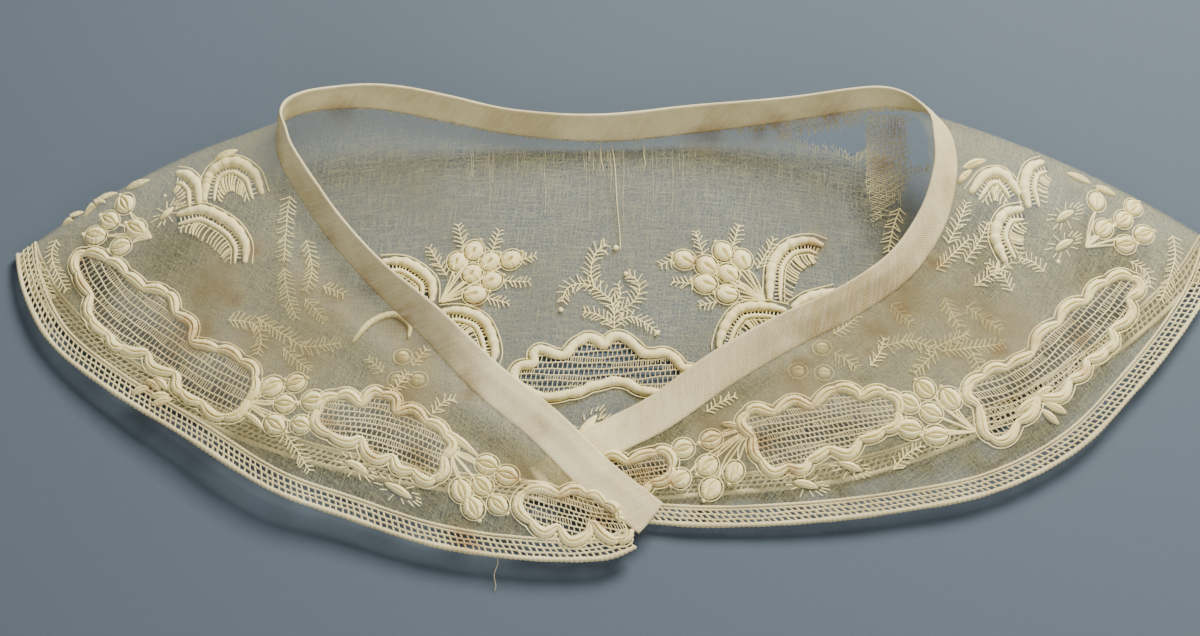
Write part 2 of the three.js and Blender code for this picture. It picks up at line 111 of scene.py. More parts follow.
LEAN, SETTLE, ARCH, BOW, PANEL = np.array([row[3:] for row in SECTIONS], float).T
print(len(SECTIONS), "sections round the collar")

# %% [markdown]
# ## One surface for everything
# A spot of the cloth is (place, up): the section number, with fractions, and millimetres up from the
# hem. The functions below turn spots into points and directions, so that a stitch, a berry or a hole
# can be laid on the cloth wherever it folds. A slow ripple and fine gathers keep it from looking stiff.

# %% Places along the cloth
def through(a, b, c, d, f):
    return b + 0.5 * f * (c - a + f * (2 * a - 5 * b + 4 * c - d + f * (3 * (b - c) + d - a)))


def between(values, place):
    first = np.clip(np.floor(place).astype(int), 0, LAST - 1)
    f = place - first
    corners = (values[np.clip(first + step, 0, LAST)] for step in (-1, 0, 1, 2))
    return through(*corners, f[..., None] if values.ndim == 2 else f)


def unit(vectors):
    return vectors / np.maximum(np.linalg.norm(vectors, axis=-1, keepdims=True), 1e-9)


def run_lengths(points):
    return np.concatenate([[0], np.cumsum(np.linalg.norm(np.diff(points, axis=0), axis=1))])


MEASURED_PLACES = np.linspace(0, LAST, LAST * 20 + 1)
hem_lengths = run_lengths(between(HEM, MEASURED_PLACES))
hem_lengths -= hem_lengths[CENTRE_BACK * 20]


def place_of(along):
    return np.interp(along, hem_lengths, MEASURED_PLACES)


def along_of(place):
    return np.interp(place, MEASURED_PLACES, hem_lengths)


def depth_at(place):
    return np.linalg.norm(between(NECK, place) - between(HEM, place), axis=-1)


print("hem", round(hem_lengths[-1] - hem_lengths[0]), "mm long, in mm from the centre back",
      [round(hem_lengths[0]), round(hem_lengths[-1])])

# %% Points and directions on the cloth
SLOW_WAVE = 0.28               # heights of the slow ripple, the hem's gathers and one crease, in mm
GATHER = 0.16
CREASE = 0.4


def cloth_point(place, up):
    place, up = np.broadcast_arrays(np.clip(place, -0.02, LAST + 0.02), np.asarray(up, float))
    neck, hem = between(NECK, place), between(HEM, place)
    share = 1 - up / np.linalg.norm(neck - hem, axis=-1)
    settle = between(SETTLE, place)
    power = 1 + np.clip((1 - settle) * 5, 0, 0.5)
    hump = 4 * share * (1 - share)
    fall = np.maximum(0, 1 - share / settle) ** power
    point = neck + (hem - neck) * share[..., None]
    point[..., 1] += between(BOW, place) * hump
    height = hem[..., 2] + (neck[..., 2] - hem[..., 2]) * fall + between(ARCH, place) * hump
    along = along_of(place)
    slow = SLOW_WAVE * np.sin(along / 6.1 + up / 13 + 1.6 * np.sin(along / 29)) * np.clip(hump, 0, 1)
    gathers = GATHER * np.sin(along / 0.9 + 1.3 * np.sin(along / 7)) * np.exp(-np.clip(share, 0, 1) * 9)
    from_crease = up - 10 - 0.8 * np.sin(along / 9)
    crease = CREASE * np.exp(-(from_crease / 0.8) ** 2) * np.exp(-((place - 7.5) / 1.8) ** 2)
    point[..., 2] = np.maximum(CLOTH_REST, height) + slow + gathers + crease
    return point


def cloth_frame(spots):
    place, up = spots[..., 0], spots[..., 1]
    by_place = (cloth_point(place + 0.01, up) - cloth_point(place - 0.01, up)) / 0.02
    by_up = (cloth_point(place, up + 0.3) - cloth_point(place, up - 0.3)) / 0.6
    normal = unit(np.cross(by_up, by_place))
    normal = np.where(normal[..., 2:] < 0, -normal, normal)
    return cloth_point(place, up), by_place, by_up, normal


def points_of(spots):
    return cloth_point(spots[..., 0], spots[..., 1])


def hem_spots(along, up):
    return np.stack([place_of(along), np.broadcast_to(up, np.shape(along))], 1)


def laid(spots, lift):
    point, _, _, normal = cloth_frame(spots)
    return point + normal * np.asarray(lift)[..., None]


def headings(points, closed):
    before, after = (points[-2:-1], points[1:2]) if closed else (points[:1], points[-1:])
    padded = np.concatenate([before, points, after])
    return unit(padded[2:] - padded[:-2])


def shift(spots, offset, closed=False):
    point, by_place, by_up, normal = cloth_frame(spots)
    aside = np.cross(normal, headings(point, closed)) * np.asarray(offset)[..., None]
    pp, pu, uu = (np.sum(a * b, -1) for a, b in ((by_place, by_place), (by_place, by_up), (by_up, by_up)))
    ap, au = np.sum(aside * by_place, -1), np.sum(aside * by_up, -1)
    det = np.maximum(pp * uu - pu * pu, 1e-6)
    return spots + np.stack([(ap * uu - au * pu) / det, (au * pp - ap * pu) / det], -1)


def smooth_run(spots, step, closed=False):
    spots = np.asarray(spots, float)
    count = len(spots)
    ends = count if closed else count - 1
    t = np.linspace(0, ends, ends * 12 + 1)
    first = np.minimum(t.astype(int), ends - 1)
    corners = [first + k for k in (-1, 0, 1, 2)]
    corners = [spots[n % count if closed else np.clip(n, 0, count - 1)] for n in corners]
    fine = through(*corners, (t - first)[:, None])
    lengths = run_lengths(points_of(fine))
    wanted = np.linspace(0, lengths[-1], max(2, 2 * round(lengths[-1] / step / 2)) + 1)
    return np.stack([np.interp(wanted, lengths, fine[:, k]) for k in (0, 1)], 1)


print("depth at the centre back", round(float(depth_at(np.array(float(CENTRE_BACK)))), 1), "mm")

# %% [markdown]
# ## The camera, and placing by the photograph
# The camera comes first, because motifs are charted as pixels of the 1200 by 636 photograph.
# A ray through a pixel meets up to three layers of cloth, so each chart names its layer. The answer is
# a spot of the cloth, and whatever is made there lies on the cloth from every side.

# %% Camera
PHOTO_WIDTH, PHOTO_HEIGHT = 1200, 636
TARGET = np.array([-5.1, 5.1, 0])
ELEVATION = math.radians(66)
DISTANCE = 620
FOCAL_PIXELS = 2322
SENSOR = 36
ahead = np.array([0, math.cos(ELEVATION), -math.sin(ELEVATION)])
upward = np.array([0, math.sin(ELEVATION), math.cos(ELEVATION)])
eye = TARGET - DISTANCE * ahead
camera_data = bpy.data.cameras.new("photo_camera")
camera_data.sensor_fit = "HORIZONTAL"
camera_data.sensor_width = SENSOR
camera_data.lens = FOCAL_PIXELS * SENSOR / PHOTO_WIDTH
camera = bpy.data.objects.new("photo_camera", camera_data)
camera.location = eye * MM
camera.rotation_euler = (math.pi / 2 - ELEVATION, 0, 0)
bpy.context.collection.objects.link(camera)
bpy.context.scene.camera = camera
print("camera at", [round(v, 4) for v in camera.location], "lens", round(camera_data.lens, 1))

# %% From a pixel to a spot of the cloth
def pixel_of(points):
    ray = points - eye
    scale = FOCAL_PIXELS / (ray @ ahead)
    return np.stack([PHOTO_WIDTH / 2 + ray[..., 0] * scale, PHOTO_HEIGHT / 2 - (ray @ upward) * scale], -1)


LAYERS = {"left": (0.0, 10.6), "back": (10.6, 21.6), "right": (21.8, 32.0)}
layer_spots = {}
for layer, (low, high) in LAYERS.items():
    places, shares = np.meshgrid(np.linspace(low, high, 240), np.linspace(0, 1.02, 70))
    layer_spots[layer] = np.stack([places, shares * depth_at(places)], -1).reshape(-1, 2)


def at(layer, pixels):
    grid = layer_spots[layer]
    seen = pixel_of(points_of(grid))
    pixels = np.asarray(pixels, float).reshape(-1, 2)
    spots = np.array([grid[np.argmin(((seen - pixel) ** 2).sum(1))] for pixel in pixels])
    for _ in range(4):
        place, up = spots[:, 0], spots[:, 1]
        here = pixel_of(cloth_point(place, up))
        by_place = (pixel_of(cloth_point(place + 0.01, up)) - here) / 0.01
        by_up = (pixel_of(cloth_point(place, up + 0.1)) - here) / 0.1
        miss = pixels - here
        det = by_place[:, 0] * by_up[:, 1] - by_place[:, 1] * by_up[:, 0]
        det = np.where(np.abs(det) < 1, np.sign(det) + (det == 0), det)
        move = np.stack([miss[:, 0] * by_up[:, 1] - miss[:, 1] * by_up[:, 0],
                         by_place[:, 0] * miss[:, 1] - by_place[:, 1] * miss[:, 0]], -1) / det[:, None]
        spots = spots + np.clip(move, (-0.2, -3), (0.2, 3))
        spots[:, 0] = np.clip(spots[:, 0], 0, LAST)
    return spots


def spot(along, up):
    return np.array([[float(place_of(along)), up]])


check = at("back", [(600, 318), (474, 251)])
print("two pixels come back as", pixel_of(points_of(check)).round(1).tolist())

# %% [markdown]
# ## Finishes
# Cotton gone ivory with age is not one colour. Two effects serve more than one finish, so they are
# node groups: a weave of crossing threads for ground and band, and age for all, which is slow mottling
# with tea-coloured stains where the photograph shows them. The wide stains, and those along the bands,
# are partly painted shade. Each material gives them its own values.

# %% Stains and painted shade, charted as pixel across, pixel down and radius in millimetres
STAINS_AND_SHADE = {
    "left": [
        (420, 455, 7), (330, 425, 6), (565, 500, 9), (600, 520, 6), (345, 225, 6), (403, 357, 4),
        (470, 395, 5), (465, 540, 7), (83, 283, 4.5), (84, 262, 3), (560, 497, 4), (373, 455, 4),
        (340, 235, 7), (372, 285, 8), (400, 322, 8), (236, 300, 5), (215, 285, 14), (305, 355, 11),
        (520, 470, 10), (185, 335, 14), (330, 300, 16), (405, 395, 14), (255, 345, 13), (470, 380, 5),
        (545, 430, 5), (318, 200, 6), (150, 385, 4), (255, 250, 5), (205, 330, 8), (420, 350, 12)],
    "back": [
        (880, 165, 5), (818, 244, 6), (705, 135, 9), (340, 105, 8), (806, 243, 4), (697, 262, 3),
        (478, 305, 3), (486, 328, 3), (770, 118, 8), (830, 108, 9), (760, 130, 6), (895, 130, 5)],
    "right": [
        (985, 315, 11), (1000, 345, 8), (800, 365, 7), (868, 350, 4), (650, 470, 8), (1086, 373, 4),
        (790, 468, 4), (668, 478, 4), (955, 350, 9), (925, 215, 5), (880, 330, 8), (905, 300, 16),
        (960, 305, 12), (868, 332, 11), (800, 385, 14), (855, 300, 14), (1010, 330, 15), (720, 430, 12),
        (935, 262, 6), (905, 305, 6), (760, 440, 7), (1080, 340, 7), (882, 290, 15), (822, 335, 13),
        (940, 190, 9)],
}
# Wide stains are a tint that is partly stain and partly painted shade, on cloth turned from the light.
WIDE_STAIN_AND_SHADE = 9                # from this radius on a stain is only a tint
FAINT_SHARE = 0.85
stain_and_shade_places = []
for layer, charted_marks in STAINS_AND_SHADE.items():
    for across_pixel, down_pixel, radius in charted_marks:
        middle = points_of(at(layer, [(across_pixel, down_pixel)])[0])
        stain_and_shade_places.append((middle * MM, radius * MM))
print(len(stain_and_shade_places), "charted_marks")

# %% Node helpers
def add_node(tree, kind, settings=None, inputs=None):
    node = tree.nodes.new("ShaderNode" + kind)
    for name, value in (settings or {}).items():
        setattr(node, name, value)
    for name, value in (inputs or {}).items():
        if isinstance(value, bpy.types.NodeSocket):
            tree.links.new(value, node.inputs[name])
        else:
            node.inputs[name].default_value = value
    return node


def sums(tree, operation, first, second=None, third=None):
    inputs = {n: value for n, value in enumerate((first, second, third)) if value is not None}
    return add_node(tree, "Math", {"operation": operation}, inputs).outputs[0]


def blend(tree, share, first, second):
    node = add_node(tree, "Mix", {"data_type": "RGBA"}, {"Factor": share, "A": first, "B": second})
    return node.outputs["Result"]


def noise(tree, vector, scale, detail, roughness=0.5):
    inputs = {"Vector": vector, "Scale": float(scale), "Detail": float(detail), "Roughness": roughness}
    return add_node(tree, "TexNoise", None, inputs).outputs


def span(tree, value, low, high, top=1.0):
    inputs = {"Value": value, "From Min": low, "From Max": high, "To Max": top}
    return add_node(tree, "MapRange", None, inputs).outputs[0]


def mapped(tree, vector, **settings):
    return add_node(tree, "Mapping", None, {"Vector": vector, **settings}).outputs[0]


def start_group(name, inputs, outputs):
    group = bpy.data.node_groups.new(name, "ShaderNodeTree")
    for side, sockets in (("INPUT", inputs), ("OUTPUT", outputs)):
        for socket_name, kind in sockets:
            group.interface.new_socket(socket_name, in_out=side, socket_type="NodeSocket" + kind)
    return group, group.nodes.new("NodeGroupInput"), group.nodes.new("NodeGroupOutput")


print("node helpers:", ", ".join(made.__name__ for made in (sums, blend, noise, span, mapped)))

# %% Crossing threads
weave_group, given, result = start_group(
    "crossing_threads", [("Vector", "Vector"), ("Pitch", "Float"), ("Wander", "Float")],
    [("Threads", "Float"), ("Height", "Float")])
wander = noise(weave_group, given.outputs["Vector"], 900, 1)["Color"]
wandered = add_node(weave_group, "VectorMath", {"operation": "SCALE"},
                    {0: wander, "Scale": given.outputs["Wander"]})
moved = add_node(weave_group, "VectorMath", {"operation": "ADD"},
                 {0: given.outputs["Vector"], 1: wandered.outputs[0]})
parts = add_node(weave_group, "SeparateXYZ", None, {0: moved.outputs[0]})
waves = []
for axis in (0, 1):
    turns = sums(weave_group, "DIVIDE", parts.outputs[axis], given.outputs["Pitch"])
    wave = sums(weave_group, "COSINE", sums(weave_group, "MULTIPLY", turns, 2 * math.pi))
    waves.append(sums(weave_group, "MULTIPLY_ADD", wave, 0.5, 0.5))
both = sums(weave_group, "MAXIMUM", waves[0], waves[1])
weave_group.links.new(both, result.inputs["Threads"])
weave_group.links.new(sums(weave_group, "ADD", waves[0], waves[1]), result.inputs["Height"])
print("group", weave_group.name)

# %% Age: slow mottling, and stains with soft broken edges, some of them painted shade
age_group, given, result = start_group(
    "age_stains_and_shade", [("Vector", "Vector")], [("Mottle", "Float"), ("Stain and shade", "Float")])
place = given.outputs[0]
mottle = span(age_group, noise(age_group, place, 42, 5, 0.6)["Fac"], 0.33, 0.68)
broken = noise(age_group, place, 210, 4)["Fac"]
stain_and_shade = 0.0
# Each spot darkens the cloth: a real stain, or painted shade where a wide one stands for it.
for centre, radius in stain_and_shade_places:
    away = add_node(age_group, "VectorMath", {"operation": "DISTANCE"}, {0: place, 1: tuple(centre)})
    rough = sums(age_group, "MULTIPLY_ADD", broken, radius * 1.3, away.outputs["Value"])
    near = add_node(age_group, "MapRange", {"interpolation_type": "SMOOTHSTEP"},
                    {"Value": rough, "From Min": radius * 1.65, "From Max": radius * 0.55,
                     "To Max": 1 if radius < WIDE_STAIN_AND_SHADE * MM else FAINT_SHARE})
    stain_and_shade = sums(age_group, "MAXIMUM", stain_and_shade, near.outputs[0])
age_group.links.new(mottle, result.inputs["Mottle"])
age_group.links.new(stain_and_shade, result.inputs["Stain and shade"])
print("group", age_group.name, "with", len(stain_and_shade_places), "charted_marks")

# %% What every finish starts with
def start_finish(name, roughness, shine=0.5):
    material = bpy.data.materials.new(name)
    material.use_nodes = True
    tree = material.node_tree
    shader = tree.nodes["Principled BSDF"]
    shader.inputs["Roughness"].default_value = roughness
    shader.inputs["Specular IOR Level"].default_value = shine
    where = add_node(tree, "TexCoord").outputs["Object"]
    age = tree.nodes.new("ShaderNodeGroup")
    age.node_tree = age_group
    tree.links.new(where, age.inputs["Vector"])
    return material, tree, shader, where, age.outputs


def on_the_cut(tree, pitch, wander, turn=0.0):
    cut = add_node(tree, "UVMap", {"uv_map": "flat_cut"}).outputs["UV"]
    slant = mapped(tree, cut, Rotation=(0, 0, math.radians(turn)))
    weave = tree.nodes.new("ShaderNodeGroup")
    weave.node_tree = weave_group
    tree.links.new(slant, weave.inputs["Vector"])
    weave.inputs["Pitch"].default_value = pitch
    weave.inputs["Wander"].default_value = wander
    return cut, slant, weave.outputs


def set_bump(tree, shader, height, distance, strength):
    bump = add_node(tree, "Bump", None, {"Height": height, "Distance": distance, "Strength": strength})
    tree.links.new(bump.outputs[0], shader.inputs["Normal"])


# Worn tone, blended towards a brown by a mask that is partly stains and partly painted shade.
def aged(tree, age, light, dark, stain_and_shade_colour, stain_and_shade_share=0.8):
    worn = blend(tree, age["Mottle"], (*light, 1), (*dark, 1))
    return blend(tree, sums(tree, "MULTIPLY", age["Stain and shade"], stain_and_shade_share), worn, (*stain_and_shade_colour, 1))


print("every finish starts with", age_group.name)

# %% The ground: sheer, so the weave drives how much of it is there
MUSLIN_PITCH = 0.00042         # metres from thread to thread
BAND_PITCH = 0.0004
THREAD_WANDER = 0.0001
BIAS = 40                      # degrees from the band's threads to its length
muslin_finish, tree, shader, where, age = start_finish("sheer_muslin", 0.92, 0.2)
cut, slant, weave = on_the_cut(tree, MUSLIN_PITCH, THREAD_WANDER)
# The third colour is stain brown, and painted shade where the wide stains stand for it.
cloth = aged(tree, age, (0.77, 0.71, 0.39), (0.52, 0.46, 0.21), (0.27, 0.17, 0.06), 0.9)
tree.links.new(cloth, shader.inputs["Base Color"])
slub = span(tree, noise(tree, cut, 1700, 2, 0.7)["Fac"], 0.36, 0.66)
alpha = sums(tree, "MULTIPLY", weave["Threads"], sums(tree, "MULTIPLY_ADD", slub, 0.17, 0.01))
for scale in ((140, 2400, 1), (2400, 140, 1)):
    drawn = span(tree, noise(tree, mapped(tree, cut, Scale=scale), 1, 2)["Fac"], 0.48, 0.78)
    alpha = sums(tree, "MULTIPLY_ADD", drawn, 0.11, alpha)
alpha = sums(tree, "MULTIPLY_ADD", age["Stain and shade"], 0.2, alpha)
patchy = sums(tree, "MULTIPLY_ADD", age["Mottle"], 0.05, -0.01)
alpha = add_node(tree, "Clamp", None, {"Value": sums(tree, "ADD", alpha, patchy)})
tree.links.new(alpha.outputs[0], shader.inputs["Alpha"])
set_bump(tree, shader, weave["Height"], 0.0001, 0.6)
print(muslin_finish.name)

# %% The bias band: the same cloth doubled, cut across the grain, darker along its seam as a seam line and painted shade
band_finish, tree, shader, where, age = start_finish("bias_muslin", 0.85, 0.25)
cut, slant, weave = on_the_cut(tree, BAND_PITCH, THREAD_WANDER, BIAS)
streaks = noise(tree, mapped(tree, slant, Scale=(1400, 110, 1)), 1, 3)["Fac"]
# The third colour is stain brown, and painted shade on the band where its stains stand for it.
cloth = aged(tree, age, (0.88, 0.78, 0.45), (0.6, 0.49, 0.24), (0.4, 0.26, 0.1))
# Pale streaks along the bias: the weave's streaks, with a painted highlight in their pale colour.
cloth = blend(tree, span(tree, streaks, 0.45, 0.9, 0.6), cloth, (0.92, 0.85, 0.58, 1))
over = add_node(tree, "SeparateXYZ", None, {0: cut}).outputs[1]
to_fold = sums(tree, "ABSOLUTE", sums(tree, "MULTIPLY_ADD", over, 1 / (BAND_ROUND * MM), -0.5))
# Darker at the seam edges of the band's section: a dark seam line, and painted shade where it meets the
# ground.
seam = span(tree, sums(tree, "MULTIPLY_ADD", streaks, 0.04, to_fold), 0.45, 0.53, 0.8)
tree.links.new(blend(tree, seam, cloth, (0.3, 0.19, 0.08, 1)), shader.inputs["Base Color"])
set_bump(tree, shader, sums(tree, "MULTIPLY_ADD", streaks, 1.2, weave["Height"]), 0.00012, 0.4)
print(band_finish.name)

# %% Net and hem threads: matt and a little darker in their hollows
net_finish, tree, shader, where, age = start_finish("net_thread", 0.85)
thread = aged(tree, age, (0.76, 0.68, 0.37), (0.56, 0.46, 0.22), (0.4, 0.24, 0.08))
tree.links.new(thread, shader.inputs["Base Color"])
set_bump(tree, shader, noise(tree, where, 3800, 2)["Fac"], 0.0001, 0.6)
print(net_finish.name)

# %% White work: soft cotton laid in satin stitch, with a faint painted highlight of lighter strands along the stitches
work_finish, tree, shader, where, age = start_finish("satin_cotton", 0.62, 0.35)
sewn = add_node(tree, "Attribute", {"attribute_name": "stitch"}).outputs["Vector"]
strands = noise(tree, mapped(tree, sewn, Scale=(2600, 1.2, 1)), 1, 2)["Fac"]
cotton = aged(tree, age, (0.9, 0.8, 0.4), (0.77, 0.64, 0.26), (0.46, 0.26, 0.08), 0.9)
# Painted highlight: lighter strands blended into the cotton along the stitches.
painted_strand_highlight = span(tree, strands, 0.4, 0.7, 0.5)
tree.links.new(blend(tree, painted_strand_highlight, cotton, (0.93, 0.85, 0.5, 1)), shader.inputs["Base Color"])
set_bump(tree, shader, strands, 0.0001, 0.5)
print(work_finish.name)

# %% [markdown]
# ## Ways of making
# Three helpers make almost everything. A sweep lays a grid of quads over rows of points and merges
# what meets, which gives closed cords, leaves and berries. Threads are curves with a round bevel,
# turned into one mesh for each motif. A satin row is a sweep whose rows rise and sink stitch by stitch.

# %% Pieces, made as sweeps of rings or as threads
MERGE = 2e-6                   # points of a sweep closer than this, in metres, are one
dice = np.random.default_rng(1851)


def add_piece(name, mesh, finish, nodes=()):
    piece = bpy.data.objects.new(name, mesh)
    bpy.context.collection.objects.link(piece)
    mesh.materials.clear()
    mesh.materials.append(finish)
    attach(piece, "root")
    if nodes:
        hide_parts(*nodes)
    return piece


def add_sweep(name, sweeps, nodes=(), finish=work_finish):
    bm = bmesh.new()
    stitch = bm.verts.layers.float_vector.new("stitch")
    for rings, lengths in sweeps:
        count, across = rings.shape[:2]
        verts = bmesh.ops.create_grid(bm, x_segments=across - 1, y_segments=count - 1, size=0.5)["verts"]
        for n, (vert, point) in enumerate(zip(verts, (rings * MM).reshape(-1, 3).tolist())):
            vert.co = point
            vert[stitch] = (lengths[n // across] * MM, n % across / across, 0)
    bmesh.ops.remove_doubles(bm, verts=bm.verts, dist=MERGE)
    bmesh.ops.recalc_face_normals(bm, faces=bm.faces)
    for face in bm.faces:
        face.smooth = True
    mesh = bpy.data.meshes.new(name)
    bm.to_mesh(mesh)
    bm.free()
    return add_piece(name, mesh, finish, nodes)


def add_threads(name, paths, radius, finish=work_finish):
    curve = bpy.data.curves.new(name, "CURVE")
    curve.dimensions = "3D"
    curve.bevel_depth = MM
    curve.bevel_resolution = 0
    curve.use_fill_caps = True
    for path, own in zip(paths, np.broadcast_to(radius, len(paths))):
        line = curve.splines.new("POLY")
        line.points.add(len(path) - 1)
        line.points.foreach_set("co", np.column_stack([path * MM, np.ones(len(path))]).ravel())
        line.points.foreach_set("radius", np.full(len(path), own))
    holder = bpy.data.objects.new(name, curve)
    bpy.context.collection.objects.link(holder)
    bpy.context.view_layer.update()
    mesh = bpy.data.meshes.new_from_object(holder)
    mesh.name = name
    bpy.data.objects.remove(holder)
    mesh.shade_smooth()
    return add_piece(name, mesh, finish)


print("sweeps merge within", MERGE, "m")

# %% Satin stitches over padding, and leaf shapes
PLAIN = np.array([-0.5, -0.47, -0.36, -0.19, 0, 0.19, 0.36, 0.47, 0.5])
HALF_FINE = np.array([0.04, 0.08, 0.12, 0.16, 0.21, 0.27, 0.34, 0.42, 0.48, 0.5])
FINE = np.concatenate([-HALF_FINE[::-1], [0], HALF_FINE])
CUT_WIDTH = 0.05               # of a groove, as a share of the stitches' width


def satin(spots, width, height, groove=0.0, parting=0.0, closed=False, lift=0.05, ridge=0.12):
    count = len(spots)
    point, _, _, normal = cloth_frame(spots)
    aside = np.cross(normal, headings(point, closed))
    groove, parting = (np.broadcast_to(value, count)[:, None] for value in (groove, parting))
    profile = FINE if groove.any() else PLAIN
    cuts = sum(np.exp(-((profile - middle) / CUT_WIDTH) ** 2) for middle in (parting, -parting))
    rise = (1 - (2 * profile) ** 2) ** 0.5 * (1 - groove * np.minimum(cuts, 1))
    across = np.append(profile, profile[0])
    rise = np.append(rise, np.zeros((count, 1)), axis=1)
    stitch = dice.normal(1, 0.03, count // 2 + 1).repeat(2)[:count]
    stitch = stitch * np.where(np.arange(count) % 2, 1 - ridge, 1)
    wide, high = (np.broadcast_to(value, count) * stitch for value in (width, height))
    rings = (point + normal * lift)[:, None] + aside[:, None] * (wide[:, None] * across)[..., None]
    rings = rings + normal[:, None] * (rise * high[:, None])[..., None]
    if closed:
        rings[-1] = rings[0]
    else:
        rings[0], rings[-1] = point[0] + normal[0] * lift, point[-1] + normal[-1] * lift
    return rings, run_lengths(point)


def leaf_shape(count, blunt=0.5):
    return np.maximum(np.sin(np.linspace(0, math.pi, count)), 0) ** blunt


def inside(polygon, spots):
    x, y = spots[..., 0], spots[..., 1]
    hit = np.zeros(x.shape, bool)
    for (x0, y0), (x1, y1) in zip(polygon, np.roll(polygon, -1, 0)):
        crosses = (y0 > y) != (y1 > y)
        hit ^= crosses & (x < (x1 - x0) * (y - y0) / np.where(y1 == y0, 1e-9, y1 - y0) + x0)
    return hit


print("satin stitches", STITCH, "mm apart")

# %% [markdown]
# ## Charts of the white work
# Each motif is charted from the photograph as a few pixels on its layer. A panel is a closed
# loop along the middle of its padded cord. Berries have a middle and share a root, and plumes are arcs.

# %% Net panels
PANEL_LOOPS = {
    "left_side": ("left", [
        (79, 256), (76, 271), (89, 294), (90, 317), (107, 335), (120, 348), (145, 353), (153, 366),
        (176, 376), (179, 391), (201, 404), (219, 417), (237, 414), (252, 394), (255, 373), (242, 361),
        (224, 350), (194, 343), (191, 325), (176, 312), (168, 294), (143, 287), (122, 269), (107, 259),
        (89, 253)]),
    "left_front": ("left", [
        (324, 401), (345, 395), (361, 403), (375, 393), (393, 399), (397, 411), (413, 411), (427, 421),
        (441, 430), (451, 445), (445, 458), (441, 474), (431, 481), (422, 478), (412, 472), (399, 468),
        (392, 458), (378, 459), (367, 452), (360, 440), (348, 441), (329, 435), (316, 421)]),
    "left_end": ("left", [
        (524, 492), (540, 490), (558, 494), (575, 491), (592, 495), (606, 503), (618, 514), (629, 526),
        (626, 537), (615, 541), (603, 533), (592, 524), (587, 534), (570, 540), (557, 528), (543, 531),
        (526, 518), (519, 505)]),
    "back": ("back", [
        (514, 379), (514, 373), (520, 367), (530, 365), (534, 361), (534, 354), (541, 350), (556, 355),
        (566, 354), (576, 344), (587, 338), (597, 341), (604, 345), (612, 338), (623, 337), (633, 345),
        (643, 353), (654, 355), (665, 353), (675, 360), (683, 368), (694, 372), (698, 382), (690, 392),
        (670, 395), (654, 393), (640, 390), (627, 383), (612, 382), (594, 386), (578, 392), (560, 396),
        (542, 397), (528, 391), (519, 385)]),
    "right_side": ("right", [
        (971, 384), (982, 376), (992, 370), (1004, 368), (1015, 363), (1026, 358), (1033, 350), (1038, 338),
        (1046, 330), (1058, 322), (1064, 312), (1073, 305), (1086, 300), (1094, 289), (1107, 281),
        (1122, 276), (1136, 280), (1138, 290), (1130, 299), (1131, 311), (1125, 321), (1113, 330),
        (1112, 344), (1102, 354), (1088, 361), (1083, 373), (1071, 381), (1062, 395), (1048, 398),
        (1038, 400), (1030, 414), (1018, 424), (1008, 437), (996, 441), (985, 433), (982, 418),
        (976, 404), (968, 396)]),
    "right_front": ("right", [
        (742, 422), (752, 410), (772, 412), (793, 402), (813, 405), (834, 389), (854, 392), (862, 397),
        (880, 392), (897, 402), (897, 422), (880, 433), (862, 440), (849, 453), (829, 450), (813, 458),
        (803, 468), (788, 468), (772, 471), (757, 456), (752, 438)]),
    "right_end": ("right", [
        (592, 468), (598, 460), (611, 456), (627, 461), (645, 456), (660, 451), (670, 458), (672, 470),
        (664, 479), (652, 484), (642, 492), (628, 497), (610, 492), (598, 482)]),
}


CALM_OVER = 9                  # mm to each side, for the loop without its scallops
CUSP_REACH = 2.6               # no two cusps are closer than this, in mm
LOBE = 8
LOBE_RISE = 0.8


def cusps_of(run):
    points = points_of(run[:-1])
    count = len(points)
    window = 2 * int(CALM_OVER / STITCH) + 1
    spread = np.concatenate([points[-window:], points, points[:window]])
    calm = np.stack([np.convolve(spread[:, k], np.ones(window) / window, "same") for k in range(3)], 1)
    bulge = np.sum((points - calm[window:-window]) * unit(points - points.mean(0)), 1)
    reach = int(CUSP_REACH / STITCH * 2)
    near = np.arange(-reach, reach + 1)
    lowest = [n for n in range(count) if bulge[n] <= bulge[(n + near) % count].min()]
    cusps = []
    for first, after in zip(lowest, lowest[1:] + [lowest[0] + count]):
        parts = max(1, round((after - first) * STITCH / 2 / LOBE))
        cusps += [first + (after - first) * k // parts for k in range(parts)]
    return cusps + [cusps[0] + count]


def outward(run):
    areas = []
    for offset in (1, -1):
        moved = shift(run, offset, closed=True)
        areas.append(abs(np.sum(moved[:-1, 0] * moved[1:, 1] - moved[1:, 0] * moved[:-1, 1])))
    return 1 if areas[0] > areas[1] else -1


panel_runs, panel_cusps = {}, {}
for name, (layer, loop) in PANEL_LOOPS.items():
    run = smooth_run(at(layer, loop), STITCH / 2, closed=True)
    cusps = cusps_of(run)
    push = np.zeros(len(run) - 1)
    for first, after in zip(cusps, cusps[1:]):
        t = np.linspace(0, 1, after - first, endpoint=False)
        push[np.arange(first, after) % len(push)] = LOBE_RISE * np.sin(math.pi * t) ** 0.8 - LOBE_RISE / 2
    push = np.append(push, push[0]) * (0.4 if name == "back" else 1)
    panel_runs[name] = shift(run, outward(run) * push, closed=True)
    panel_cusps[name] = cusps
for name, run in panel_runs.items():
    print(name, round(run_lengths(points_of(run))[-1]), "mm round,", len(panel_cusps[name]) - 1, "lobes")

